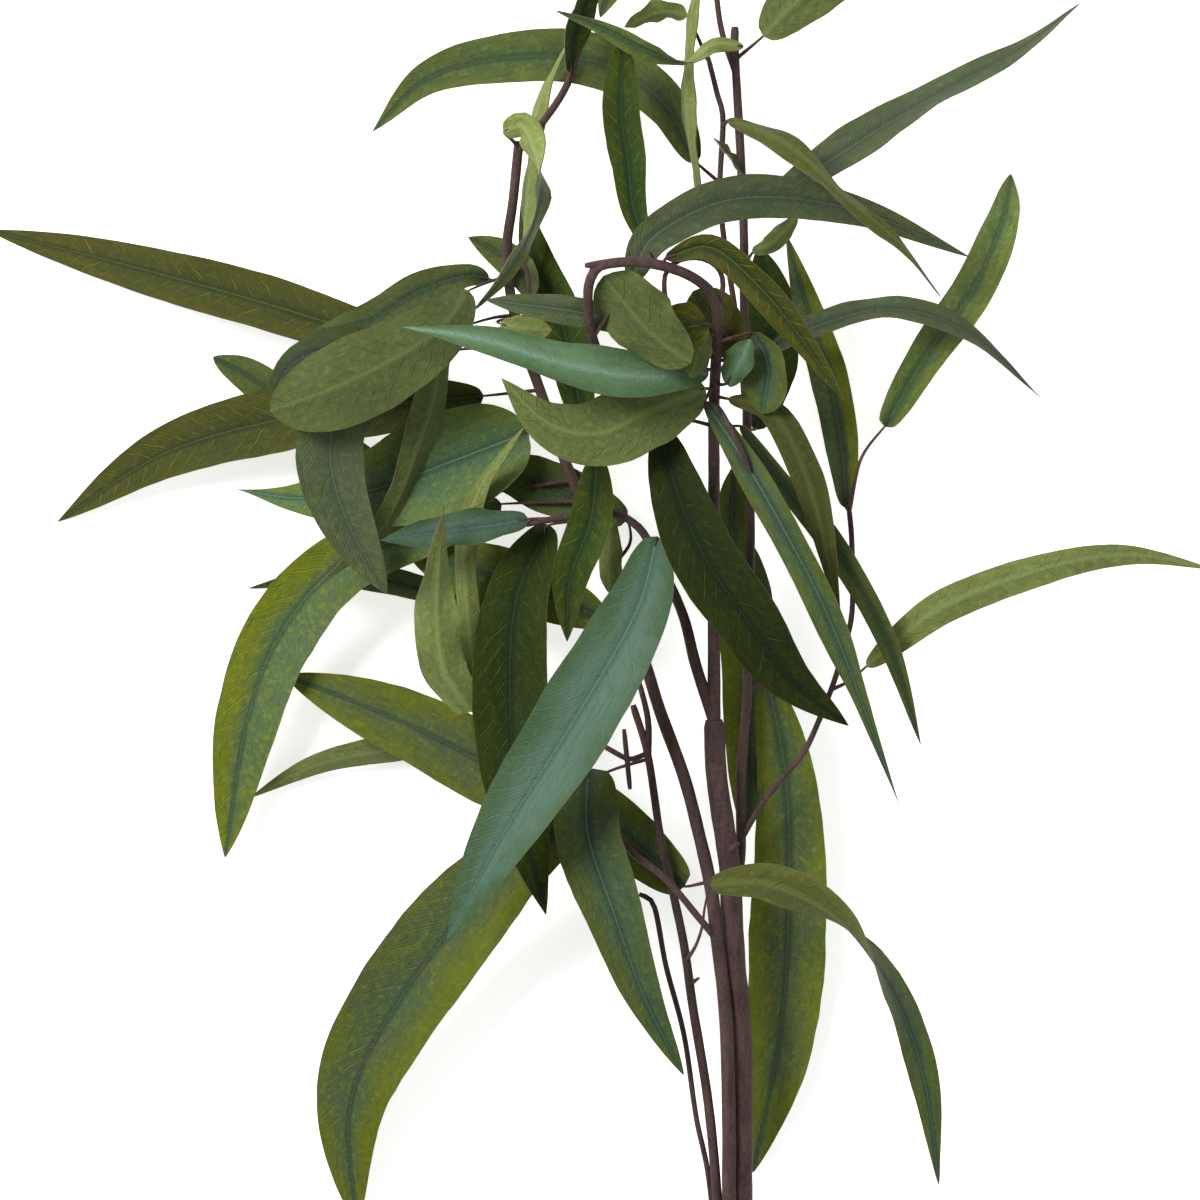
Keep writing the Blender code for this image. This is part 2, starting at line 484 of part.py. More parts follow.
def leaf_pieces(leaves):
    """The leaves of a stem, each with its own wave along the margins."""
    return [leaf_loft(name, leaf, phase=1.7 * index)
            for index, (name, leaf) in enumerate(leaves.items())]


def joined(name, pieces, color, roughness):
    """One solid from overlapping pieces, under one name and with one material."""
    base = pieces[0]
    group = bpy.data.collections.new(name + "_pieces")
    for piece in pieces[1:]:
        group.objects.link(piece)
    if len(pieces) > 1:
        union = base.modifiers.new("join", "BOOLEAN")
        union.operation = "UNION"
        union.operand_type = "COLLECTION"
        union.collection = group
        union.solver = "MANIFOLD"
    bpy.context.view_layer.update()
    evaluated = base.evaluated_get(bpy.context.evaluated_depsgraph_get())
    mesh = bpy.data.meshes.new_from_object(evaluated)
    for piece in pieces:
        bpy.data.objects.remove(piece)
    bpy.data.collections.remove(group)
    node = bpy.data.objects.new(name, mesh)
    bpy.data.collections[BRANCH_COLLECTION].objects.link(node)
    mesh.materials.clear()
    mesh.materials.append(plain_material(name, color, roughness))
    return node


def plain_material(name, color, roughness):
    material = bpy.data.materials.new(name + "_finish")
    material.use_nodes = True
    shader = material.node_tree.nodes["Principled BSDF"]
    shader.inputs["Base Color"].default_value = color
    shader.inputs["Roughness"].default_value = roughness
    shader.inputs["Metallic"].default_value = 0.0
    return material


def build_trunk():
    """The trunk with the foot of every stem that leaves it."""
    pieces = [stem_tube("trunk_core", TRUNK)]
    feet = ((LONG_LEFT_STEM, LONG_LEFT_JOINT), (LOW_STEM, LOW_JOINT), (WIRE_SHOOT, WIRE_JOINT),
            (RIGHT_STEM, RIGHT_JOINT), (NODDING_STEM, NODDING_JOINT), (LEFT_FORK, LEFT_FORK_JOINT),
            (LOWER_LEFT_TWIG, LOWER_LEFT_JOINT))
    for index, (stem, joint) in enumerate(feet):
        pieces.append(stem_tube(f"foot_{index}", stem, last=joint))
    for index, bud in enumerate(TRUNK_BUDS):
        pieces.append(stem_tube(f"bud_{index}", bud))
    return joined("trunk", pieces, BARK, 0.75)


def build_leafy_stem(name, stem, joint, leaves, extras=(), feet=()):
    """A stem from its joint to its tip, with its bare twigs, leaves and the feet of side twigs."""
    pieces = [stem_tube(name + "_core", stem, first=joint)]
    for index, extra in enumerate(extras):
        pieces.append(stem_tube(f"{name}_extra_{index}", extra))
    for index, (side, side_joint) in enumerate(feet):
        pieces.append(stem_tube(f"{name}_foot_{index}", side, last=side_joint))
    pieces += leaf_pieces(leaves)
    color = LEAF_GREENS.get(name, BARK)
    return joined(name, pieces, color, 0.55)


def clear_scene():
    for old in list(bpy.data.objects):
        bpy.data.objects.remove(old)


def build_branch():
    clear_scene()
    branch = bpy.data.collections.new(BRANCH_COLLECTION)
    bpy.context.scene.collection.children.link(branch)
    build_trunk()
    build_leafy_stem("nodding_stem", NODDING_STEM, NODDING_JOINT, NODDING_LEAVES, NODDING_EXTRAS)
    build_leafy_stem("left_fork", LEFT_FORK, LEFT_FORK_JOINT, LEFT_FORK_LEAVES)
    build_leafy_stem("long_left_stem", LONG_LEFT_STEM, LONG_LEFT_JOINT, LONG_LEFT_LEAVES,
                     LONG_LEFT_EXTRAS)
    build_leafy_stem("lower_left_twig", LOWER_LEFT_TWIG, LOWER_LEFT_JOINT, LOWER_LEFT_LEAVES)
    build_leafy_stem("right_stem", RIGHT_STEM, RIGHT_JOINT, RIGHT_LEAVES, RIGHT_EXTRAS,
                     feet=((RIGHT_SIDE_TWIG, RIGHT_SIDE_JOINT), (THIN_TOP_STEM, THIN_TOP_JOINT)))
    build_leafy_stem("right_side_twig", RIGHT_SIDE_TWIG, RIGHT_SIDE_JOINT, RIGHT_SIDE_LEAVES)
    build_leafy_stem("thin_top_stem", THIN_TOP_STEM, THIN_TOP_JOINT, THIN_TOP_LEAVES)
    build_leafy_stem("low_stem", LOW_STEM, LOW_JOINT, LOW_LEAVES, LOW_EXTRAS)
    build_leafy_stem("wire_shoot", WIRE_SHOOT, WIRE_JOINT, {})


build_branch()
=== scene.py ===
# The looks of a cut eucalyptus branch: every leaf and stem in fine mesh, with its materials,
# a pale floor, soft studio light and a camera that looks straight down on the branch.

import math
from collections import namedtuple

import bpy
import numpy as np
from mathutils import Matrix, Vector, noise


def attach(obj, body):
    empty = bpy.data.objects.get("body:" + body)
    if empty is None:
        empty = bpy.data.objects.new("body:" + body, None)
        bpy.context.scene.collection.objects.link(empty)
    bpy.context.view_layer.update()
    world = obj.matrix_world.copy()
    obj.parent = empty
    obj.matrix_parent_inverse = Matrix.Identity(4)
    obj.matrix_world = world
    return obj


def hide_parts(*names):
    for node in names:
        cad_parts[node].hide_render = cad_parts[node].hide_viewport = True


# Millimetres, in a drawing laid over the branch: u to the right, v towards the tips, h above the table.
MM = 0.001
DRAWING_MIDDLE = Vector((200.0, 200.0))
STEM_PLANE = 40.0
EYE_DISTANCE = 1600.0
ORIGIN_U = 199.75
ORIGIN_V = 126.6
VIEW_WIDTH = 400.0
SENSOR_WIDTH = 36.0

BLADE_THICKNESS = 0.36
BLADE_BASE_WIDTH = 1.3
BLADE_STEP = 2.2
BLADE_STRIPS = 14
FEWEST_ROWS = 14
EVEN_SHARE_OF_ROWS = 0.35
STRIP_CROWDING = 0.9
RIB_HEIGHT = 0.35
RIB_HALF_WIDTH = 0.6
RIB_FADE = 0.7
FOLD = 0.22
FOLD_CREASE = 1.12
WAVES = 2.5
RIPPLE_HEIGHT = 0.35
RIPPLES_PER_BLADE = 7.0
MARGIN_DENTS = 0.06
MARGIN_NICKS = 0.02
BLADE_SHARP_ANGLE = math.radians(60.0)
STALK_RADIUS = 0.75
STALK_TAPER = 0.6
STALK_ON_BLADE = 3.5
STALK_STEP = 1.2
STALK_SIDES = 8
STEM_SIDES = 16
STEM_RING_STEP = 2.5
STEM_SWELLING = 0.05
STEM_END = 0.8
STEM_SHARP_ANGLE = math.radians(50.0)

# Leaf outlines: how the width rises from the base, how late it falls, and how drawn out the tip is.
STRAP = (0.38, 3.6, 0.9)
SICKLE = (0.40, 2.2, 0.95)
POINTED = (0.42, 1.25, 1.0)
DRAWN_OUT = (0.45, 1.2, 1.5)
TAILED = (0.42, 2.5, 1.6)
BLUNT = (0.42, 5.0, 0.7)
ROUND_BASED = (0.26, 1.6, 0.8)
BROAD_BASED = (0.30, 0.6, 0.8)
ROUND_STRAP = (0.26, 3.6, 0.8)
USUAL_WAVE = 0.6

Stem = namedtuple("Stem", "route radii")
Leaf = namedtuple("Leaf", "root line width roll look outline wave", defaults=(SICKLE, USUAL_WAVE))
Look = namedtuple("Look", "upper shade lean under", defaults=(1.0, 0.0, "pale"))

# The trunk runs from the cut end up to the fork; thinner stems leave it low down.
TRUNK = Stem(
    [(250, -190, 4.5), (249, -120, 11), (248, -60, 18), (247, 1, 24), (247, 51, 30), (245, 78, 34),
    (244, 95, 36), (243, 113, 38), (239, 140, 41), (238, 160, 43)], (4.4, 3.5))
LONG_LEFT_STEM = Stem(
    [(247, -85, 15), (244, -40, 23), (243, 1, 29), (243, 24, 32), (242, 60, 36), (239, 87, 39),
    (237, 104, 40), (233, 122, 41), (228, 141, 42), (220, 163, 43), (215, 179, 43), (208, 198, 42),
    (204, 211, 41), (199, 222, 40), (193, 235, 40), (187, 250, 40), (180, 270, 40), (173, 290, 42),
    (170, 303, 44), (169, 318, 46), (171, 333, 48), (173, 353, 50)], (2.6, 1.6))
LOW_STEM = Stem(
    [(247, -110, 12), (242, -50, 20), (239, 1, 26), (236, 33, 30), (231, 64, 33), (228, 85, 35),
    (224, 104, 36), (220, 122, 36), (216, 148, 34), (211, 165, 33)], (2.1, 1.2))
WIRE_SHOOT = Stem(
    [(247, -125, 10), (241, -60, 17), (237, 1, 24), (232, 28, 28), (228, 55, 30), (222, 78, 32),
    (218, 98, 33), (213, 102, 33)], (1.0, 0.9))
RIGHT_STEM = Stem(
    [(245, 90, 36), (246, 107, 32), (247, 117, 31.5), (247, 140, 33), (249, 167, 36), (249, 187, 38),
    (250, 213, 40), (250, 233, 41), (249, 257, 42), (249, 273, 43), (248, 300, 45), (248, 320, 46),
    (247, 346, 48), (245, 382, 50), (245, 391, 50)], (1.7, 1.4))
NODDING_STEM = Stem(
    [(238, 160, 43), (238, 177, 45.5), (238, 190, 47.5), (238, 213, 51), (238, 240, 57), (238, 265, 68),
    (239, 287, 82), (239, 297, 91), (236.5, 303, 97), (231, 307.5, 102), (224, 310.5, 106),
    (215, 312.5, 109), (206, 312.5, 111), (199.5, 311, 111), (196.5, 306, 109), (196, 299, 105),
    (197, 290, 99), (199, 283, 94)], (2.2, 1.5))
LEFT_FORK = Stem(
    [(238, 160, 43), (232, 178, 46.5), (228, 194, 50), (222, 208, 53), (217, 218, 55), (212, 225, 56),
    (203, 229, 57), (185, 227, 59), (174, 225, 60)], (2.1, 1.0))
LOWER_LEFT_TWIG = Stem(
    [(238, 88, 39), (233, 94, 43), (222, 107, 47), (213, 114, 46), (209, 118, 45), (200, 133, 43),
    (196, 144, 44)], (1.2, 1.1))
RIGHT_SIDE_TWIG = Stem(
    [(247, 120, 31.5), (254, 132, 37), (263, 143, 40), (269, 151, 42), (277, 170, 45), (281, 183, 46),
    (284, 196, 48), (284, 218, 50), (283, 231, 52)], (1.0, 0.9))
THIN_TOP_STEM = Stem(
    [(249, 257, 42), (248, 268, 39), (246, 290, 37), (241, 323, 38), (240, 339, 46), (241, 360, 50),
    (239, 369, 51), (236, 381, 52)], (1.0, 0.9))

# Short bare twigs, petiole loops and buds that belong to a stem.
TRUNK_BUDS = (
    Stem([(243, 116, 40), (246, 119, 45)], (1.6, 0.8)),
    Stem([(239, 146, 42), (236, 148, 47)], (1.6, 0.8)),
)
NODDING_EXTRAS = (
    Stem([(202, 312, 111), (195, 311.5, 112)], (1.6, 0.9)),
    Stem([(239, 295, 89), (241, 305, 97), (239, 311, 101), (233, 314, 103), (226, 313, 104),
          (222, 309, 103), (221.5, 303, 101), (223, 296, 98)], (0.9, 0.8)),
    Stem([(238, 266, 69), (241.5, 261, 80), (246, 252, 84), (250, 243, 82)], (0.9, 0.8)),
)
LONG_LEFT_EXTRAS = (
    Stem([(173, 350, 50), (180, 358, 52), (190, 374, 54), (195, 397, 56), (200, 427, 57)],
         (1.3, 1.0)),
    Stem([(169, 311, 45), (174, 312, 50), (176, 308, 51), (176, 302, 50), (175, 298, 48)],
         (0.9, 0.8)),
)
RIGHT_EXTRAS = (
    Stem([(245, 376, 50), (241, 388, 51), (239, 400, 52), (237, 425, 54)], (1.0, 0.9)),
)
LOW_EXTRAS = (
    Stem([(216, 148, 34), (216, 160, 33), (213, 173, 32)], (1.2, 0.9)),
    Stem([(216, 149, 34), (211, 147, 35), (209, 147, 36), (200, 152, 37)], (0.9, 0.9)),
    Stem([(209, 147, 36), (210, 137, 34)], (0.9, 0.8)),
    Stem([(209, 147, 36), (208, 157, 36)], (0.9, 0.8)),
    Stem([(230, 72, 34), (233, 74, 37)], (0.9, 0.5)),
)

# Each leaf: its root on the stem, the points its midrib passes, its width, its roll at even steps
# from base to tip, its look, its outline and the height of the waves along its margins.
# A roll of 0 turns the upper face up, and 180 turns it down. A look names the tone of the upper face,
# how light the leaf is, the half that takes the margin's colour, from -1 for the left half to 1 for the
# right one, which is partly print and partly painted light and shade on the two halves of the fold, and
# the tone of the under face.
NODDING_LEAVES = {
    "front_pale_sickle": Leaf(
        [(238, 270, 71)], [(235, 270.5, 75), (216, 263, 84), (199.5, 255.5, 88), (182.5, 259, 92),
        (167, 274, 96)], 24, (175, 185), Look("olive"), POINTED, 0.9),
    "front_teal_sickle": Leaf(
        [(238, 276, 75)], [(236, 277, 78), (213, 274.5, 98), (187, 279, 104), (160, 287, 104),
        (134, 291, 100)], 16, (20, 25), Look("sea"), POINTED, 1.4),
    "hanging_dark_blade": Leaf(
        [(238, 258, 65), (228, 260, 68)], [(220, 257, 70), (226, 235, 73), (235, 214, 75), (250, 192, 73),
        (264, 173, 66), (283, 158, 56)], 22, (0, 10), Look("deep", 0.75, 0.2), SICKLE),
    "hanging_teal_blade": Leaf(
        [(238, 272, 72)], [(235, 266, 75), (247, 248, 80), (261, 224, 82), (278, 190, 77), (300, 131, 60)],
        11, (10, 30), Look("teal_dark", 1.15), TAILED, 1.2),
    "hanging_olive_blade": Leaf(
        [(238, 268, 70)], [(243, 267, 72), (257, 263, 74), (267, 246, 73), (274, 223, 70), (281, 188, 66)],
        10.5, (165, 195, 210), Look("olive", 0.72, 0.0, "olive_under"), TAILED),
    "right_drooping_blade": Leaf(
        [(238, 257, 64)], [(247, 258, 66), (262, 238, 63), (279, 217, 60), (296, 186, 55), (307, 151.5, 48)],
        8.5, (30, 10), Look("mid", 0.85), SICKLE),
    "arching_teal_blade": Leaf(
        [(198, 288, 98), (204, 297, 100)], [(210, 306, 101), (219, 322, 98), (247, 334, 85), (285, 330, 70),
        (324, 314, 60)], 14.5, (-10, 10), Look("grey", 0.85, -0.3), POINTED, 1.0),
    "arching_dark_blade": Leaf(
        [(221, 311, 106)], [(222, 314, 107), (237, 317.5, 109), (253, 304.5, 107), (266.5, 288, 101),
        (281, 267, 93)], 10.5, (20, 30), Look("olive", 0.9, 0.4, "olive_under"), SICKLE, 0.8),
    "upright_vein_blade": Leaf(
        [(217, 312, 107)], [(216, 317, 99), (211, 331, 90), (209.5, 345, 81), (207, 363, 71),
        (207.5, 386, 62)], 12.5, (10, 0), Look("deep", 1.5, -0.3), BLUNT),
    "knot_pale_leaf": Leaf(
        [(223, 296, 98), (227, 287, 98)], [(230, 279, 99), (216, 290, 103), (201, 308, 107)], 23, (165, 150),
        Look("olive", 0.75), BLUNT, 1.8),
    "knot_olive_leaf": Leaf(
        [(239, 290, 85)], [(236, 292, 88), (227, 290, 91), (212, 281, 93)], 17, (10, -10),
        Look("olive", 1.2, 0.0, "olive_under"), SICKLE, 1.4),
    "knot_small_leaf": Leaf(
        [(239, 288, 83)], [(236, 289, 87), (233, 284, 90), (230, 274, 91)], 11, (170, 150),
        Look("olive", 0.8), STRAP, 1.0),
    "knot_bright_leaf": Leaf(
        [(238, 272, 72)], [(242, 272, 77), (247, 280, 83), (250, 287, 87)], 10, (-20, -20), Look("sea", 0.8),
        STRAP, 1.0),
    "knot_dark_leaf": Leaf(
        [(239, 286, 82), (246, 288, 82)], [(251, 289, 80), (256, 278, 79), (254, 262, 75)], 15, (30, 20),
        Look("teal_dark", 1.1), BLUNT, 1.0),
    "knot_upper_leaf": Leaf(
        [(238, 280, 77)], [(247, 280, 77), (241, 290, 78), (231, 303, 77)], 17, (10, -10),
        Look("olive", 0.85, 0.0, "olive_under"), BLUNT, 1.4),
    "front_grey_leaf": Leaf(
        [(238, 281, 78), (231, 282, 82)], [(224, 285, 86), (213, 290, 92), (203, 294, 96), (186, 297, 100),
        (162, 300, 103)], 9.5, (10, -10, 15), Look("grey", 0.95), STRAP, 0.8),
}
LEFT_FORK_LEAVES = {
    "great_teal_sickle": Leaf(
        [(219, 214, 54)], [(219, 221, 60), (212, 196, 71), (192, 161, 78), (167, 121, 74), (149, 87, 62)],
        26.5, (0, 10), Look("teal", 1.0, 0.2), SICKLE),
    "teal_twig_leaf": Leaf(
        [(185, 227, 59)], [(176, 227, 61), (165, 225, 64), (150, 223, 66), (127, 220, 68)], 12, (25, 15),
        Look("teal", 0.75), SICKLE, 1.4),
}
LONG_LEFT_LEAVES = {
    "far_left_blade": Leaf(
        [(175, 284, 41), (160, 284, 41)], [(147, 283, 40), (118, 290, 34), (83, 300.5, 28), (39, 312.5, 20),
        (-5, 323.5, 14)], 18.5, (0, 5), Look("olive", 0.85), SICKLE, 0.8),
    "left_resting_blade": Leaf(
        [(180, 270, 40)], [(161, 268, 36), (130, 265, 30), (97, 261, 22), (55, 249, 12), (19, 226, 0.5)], 22,
        (0, 0), Look("olive", 0.85, 0.2), SICKLE),
    "left_hidden_blade": Leaf(
        [(191, 240, 40), (165, 236, 34)], [(143, 233, 26), (110, 253, 14), (87, 272, 10), (71, 281, 8)], 14,
        (0, 0), Look("mid", 0.8), BLUNT),
    "front_pale_blade": Leaf(
        [(169, 308, 45), (163, 306, 58)], [(156, 303, 68), (148, 292, 78), (134, 282, 83), (112, 271, 82),
        (90, 263, 76)], 28, (175, 185), Look("olive", 0.66), BLUNT, 1.6),
    "dark_folded_blade": Leaf(
        [(173, 291, 42), (163, 290, 54)], [(153, 288, 60), (125, 285, 62), (106, 283, 61), (95, 276, 58),
        (89.5, 261, 54)], 12.5, (10, 10, 20), Look("teal_dark", 0.7)),
    "upper_green_blade": Leaf(
        [(170, 305, 44)], [(163, 307, 52), (155, 308, 55), (140, 303, 57), (123, 293, 56), (104, 289, 52)],
        12.5, (10, 10), Look("mid", 0.75, 0.2), STRAP),
    "hanging_grey_blade": Leaf(
        [(172, 295, 42), (164, 294, 54)], [(154, 291, 63), (134, 281, 70), (116, 266, 69), (110, 250, 64),
        (115, 228, 58), (129, 202, 52)], 22, (0, 0), Look("grey", 0.95), STRAP),
    "hanging_olive_strip": Leaf(
        [(174, 287, 42), (167, 290, 52)], [(160, 290, 58), (148, 283, 60), (142, 259, 55), (128, 225, 47),
        (105, 204, 43)], 12, (145, 135), Look("olive", 0.85), POINTED, 1.2),
    "long_bright_sickle": Leaf(
        [(194, 233, 40)], [(167, 232, 38), (147, 225, 36), (114, 212, 32), (93, 188, 26), (82, 158, 20),
        (75, 114, 8)], 24, (0, -5), Look("bright", 1.2, 0.6), STRAP),
    "broad_dark_blade": Leaf(
        [(185, 254, 40)], [(176, 256, 46), (150, 246, 46), (125, 237, 42), (100, 234, 36), (78, 237, 30)],
        34, (0, 0), Look("teal_dark", 1.9, 0.3), DRAWN_OUT, 1.0),
    "narrow_dark_strip": Leaf(
        [(208, 198, 42)], [(180, 193, 27), (157, 198, 22), (140, 203, 18), (113, 208, 14), (83, 204, 8)], 13,
        (45, 45), Look("deep", 1.5)),
    "mottled_blade": Leaf(
        [(211, 190, 42)], [(202, 193, 38), (180, 203, 35), (157, 210, 32), (136, 215, 29)], 21, (0, 0),
        Look("bright", 0.82), STRAP),
    "deep_green_blade": Leaf(
        [(197, 227, 40)], [(183, 225, 50), (172, 200, 54), (170, 167, 52), (173, 133, 50), (182, 95, 48)],
        25, (0, 0), Look("deep", 1.15), SICKLE),
    "stem_side_blade": Leaf(
        [(192, 238, 40), (198, 244, 48)], [(199, 248, 56), (197, 227, 64), (190, 207, 61), (189, 186, 56)],
        14, (0, 0), Look("deep", 1.7), SICKLE),
    "back_dark_blade": Leaf(
        [(204, 211, 41), (210, 219, 41)], [(209, 227, 40), (190, 235, 36), (173, 241, 36), (160, 243, 38)],
        18, (0, 0), Look("mid", 0.7, 0.3), STRAP),
    "round_based_blade": Leaf(
        [(236, 106, 40)], [(228, 104.5, 30), (199, 128, 29), (167, 143, 26), (133, 160, 22), (95, 175, 18)],
        26, (0, 0), Look("bright", 0.8), ROUND_STRAP),
    "back_upright_blade": Leaf(
        [(187, 250, 40)], [(195, 256, 38), (188, 290, 34), (179, 313, 30), (174, 335, 26)], 15, (0, 0),
        Look("deep", 1.6), SICKLE),
    "small_mid_leaf": Leaf(
        [(170, 300, 44)], [(177, 301, 42), (174, 309, 40), (166, 316, 38), (156, 321, 38)], 11, (0, 0),
        Look("mid", 0.9), SICKLE),
    "twisted_pale_blade": Leaf(
        [(173, 350, 50), (171, 353, 53)], [(168, 356, 57), (175, 357, 60), (180, 341, 65), (177, 324, 72),
        (168, 308, 79), (158, 296.5, 82)], 11.5, (195, 240, 290, 292, 295, 320),
        Look("mid", 1.2, 0.0, "lime_under"), ROUND_BASED, 1.2),
    "edge_on_strip": Leaf(
        [(169, 312, 45)], [(175, 317, 44), (176, 340, 46), (180, 366, 48), (190, 387, 51)], 11, (115, 115),
        Look("mid", 1.0, 0.0, "lime_under")),
    "top_folded_leaf": Leaf(
        [(189, 372, 54)], [(190, 376, 56), (191, 387, 59), (195, 400, 61), (201, 420, 60)], 12, (50, 55),
        Look("deep", 1.4)),
    "top_hanging_tip": Leaf(
        [(200, 427, 57)], [(203, 425, 59), (205, 410, 61), (200, 394, 62)], 10, (0, 0), Look("mid", 0.9)),
    "small_turned_leaf": Leaf(
        [(172, 294, 42), (166, 293, 56)], [(167, 292, 62), (175, 290.5, 66), (184, 290, 66)], 9, (180, 190),
        Look("deep", 0.8, 0.0, "lime_under"), STRAP, 1.2),
    "pale_sliver": Leaf(
        [(208, 198, 42)], [(204, 202, 44), (203, 215, 47), (205, 227, 48)], 9, (150, 150),
        Look("olive", 0.85, 0.0, "lime_under")),
}
LOWER_LEFT_LEAVES = {
    "great_bright_sickle": Leaf(
        [(206, 122, 44)], [(192, 126, 40), (168, 110, 35), (136, 71, 27), (117, 33, 17), (119, -10, 8)], 32,
        (0, 0), Look("bright", 0.85, -0.4), SICKLE),
    "lower_hanging_blade": Leaf(
        [(196.5, 143, 44)], [(196, 144, 48), (196, 122, 52), (204.5, 96, 53), (215, 67, 49),
        (228, 41.5, 41)], 22, (0, 0), Look("teal_dark", 1.1, 0.3), BROAD_BASED),
}
RIGHT_LEAVES = {
    "right_long_blade": Leaf(
        [(247, 337, 47)], [(257, 333, 50), (282, 350, 48), (309, 366.5, 44), (340, 383.5, 38),
        (360, 399, 30)], 15, (-20, -45, -50), Look("grey", 0.85), POINTED, 0.9),
    "thin_arching_strip": Leaf(
        [(249, 283, 44)], [(253, 280.5, 48), (269, 290, 57), (296, 297, 59), (322, 289.5, 53),
        (347, 267.5, 40)], 10, (-40, -30), Look("grey", 0.85, 0.0, "lime_under"), TAILED, 0.9),
    "back_broad_blade": Leaf(
        [(249, 257, 42)], [(252, 257, 34), (257, 277, 24), (257, 297, 20), (253, 318, 18)], 18, (0, 0),
        Look("deep", 1.35, 0.3), STRAP),
    "pale_side_leaf": Leaf(
        [(248, 311, 46)], [(251, 316, 50), (258, 319.5, 54), (266, 328, 56)], 6.5, (170, 195), Look("olive"),
        STRAP, 1.4),
    "top_front_strip": Leaf(
        [(245, 384, 50)], [(247.5, 384.5, 56), (238, 385, 62), (229, 379.5, 69), (217, 382.5, 73),
        (201, 390.5, 76), (185, 396.5, 78)], 7, (185, 215, 330, 340, 335),
        Look("mid", 1.1, 0.0, "lime_under"), SICKLE, 1.0),
    "top_right_leaf": Leaf(
        [(245, 380, 50)], [(254.5, 388, 52), (265, 399, 54), (281, 413, 52), (298, 428, 48)], 21, (180, 180),
        Look("olive", 0.9), STRAP),
    "long_yellow_edged_blade": Leaf(
        [(249, 170, 36)], [(256, 173, 30), (262, 140, 21), (263, 100, 13), (260, 55, 8), (251, 9, 3)], 26,
        (0, 0), Look("bright", 0.95, 0.2), STRAP),
    "behind_stem_blade": Leaf(
        [(247, 125, 32)], [(249, 124, 26), (249, 150, 19), (249.5, 182, 22), (248, 221, 29)], 19, (0, 0),
        Look("bright", 0.95, -0.9), BLUNT),
    "behind_stem_strip": Leaf(
        [(250, 205, 40)], [(245, 207, 37), (244, 230, 35), (245, 246, 35)], 11, (0, 0), Look("bright", 0.9)),
    "edge_on_sliver": Leaf(
        [(247, 338, 47)], [(248, 341, 50), (243, 348, 53), (238, 354, 55)], 8, (70, 70), Look("olive")),
    "crown_left_leaf": Leaf(
        [(237, 420, 54)], [(236, 425, 55), (228, 436, 57), (213, 444, 54), (196, 446, 46)], 16, (0, 0),
        Look("deep", 1.5)),
    "crown_right_leaf": Leaf(
        [(237, 424, 54)], [(239, 426, 55), (247, 436, 56), (262, 446, 52), (280, 449, 42)], 16, (0, 0),
        Look("mid")),
}
RIGHT_SIDE_LEAVES = {
    "right_reaching_blade": Leaf(
        [(277, 170, 45), (283, 173, 46)], [(289, 178, 46), (315, 198, 48), (350, 211, 44), (377, 215, 36),
        (406, 210, 26)], 11.5, (180, 165), Look("mid", 0.9, 0.0, "lime_under"), POINTED, 1.0),
    "right_resting_blade": Leaf(
        [(283, 229, 52), (287, 247, 52)], [(295, 258, 48), (309, 282, 42), (324, 303, 32), (334, 326, 17),
        (337, 342, 0.5)], 14, (0, 0), Look("mid", 1.45, 0.2), ROUND_STRAP, 0.9),
    # The two tones of this leaf are partly print and partly painted light and shade of its fold.
    "back_two_toned_blade": Leaf(
        [(283, 230, 52)], [(282, 231, 50), (280.5, 252, 42), (276, 275, 36), (269, 298, 31), (262, 322, 27)],
        12.5, (0, 0), Look("bright", 0.95, 1.0), SICKLE),
}
THIN_TOP_LEAVES = {
    "crossing_olive_blade": Leaf(
        [(241, 358, 50)], [(243, 360, 57), (263, 351.5, 77), (282, 334, 87), (300, 318.5, 85),
        (313.5, 301, 79)], 8, (165, 140, 130), Look("mid", 0.95, 0.0, "olive_under"), POINTED, 1.4),
    "top_left_sickle": Leaf(
        [(240, 339, 46)], [(232, 346, 44), (221, 366, 42), (200, 379, 40), (172, 381, 38), (143, 374, 34),
        (124, 356, 26)], 18, (0, 0), Look("mid", 0.98), SICKLE, 0.9),
    "top_back_strip": Leaf(
        [(236, 380, 52)], [(229, 395, 50), (220, 396, 50), (208, 391, 50)], 9, (130, 130), Look("mid", 1.1),
        SICKLE, 1.0),
    "top_edge_on_blade": Leaf(
        [(240, 332, 43)], [(233, 335, 49), (229, 360, 52), (229, 383, 55), (234, 415, 57)], 10, (110, 115),
        Look("mid", 0.95, 0.0, "lime_under")),
}
LOW_LEAVES = {
    "rising_pale_blade": Leaf(
        [(201, 151, 37), (180, 156, 40)], [(157, 163, 46), (148, 177, 56), (145.5, 194, 66), (146, 211, 74),
        (148, 232, 78)], 15, (180, 170, 190, 215, 290), Look("deep", 1.35), ROUND_BASED, 2.2),
    "rising_pale_strip": Leaf(
        [(201, 151, 37), (178, 158, 39)], [(159, 170, 43), (156, 197, 45), (155, 217, 49), (160, 237, 55),
        (175, 258, 62)], 8, (180, 160, 150), Look("mid", 0.85, 0.0, "lime_under"), SICKLE, 1.2),
    "back_pale_strip": Leaf(
        [(216, 147, 34), (206, 144, 26)], [(195, 140, 21), (153, 152, 15), (123, 149, 11), (103, 144, 8),
        (83, 134, 4)], 12, (150, 150), Look("olive", 0.8, 0.0, "lime_under")),
    "twisting_front_blade": Leaf(
        [(229, 80, 35), (232, 85, 48), (234, 91, 56), (235, 98, 60)], [(237, 105, 62), (257, 105, 66),
        (280, 93, 62), (298, 68, 52), (308, 40, 42), (313, 5, 30)], 15, (200, 205, 245, 310, 340, 345, 335),
        Look("teal_dark", 1.15, 0.0, "olive_under"), ROUND_BASED, 1.0),
}


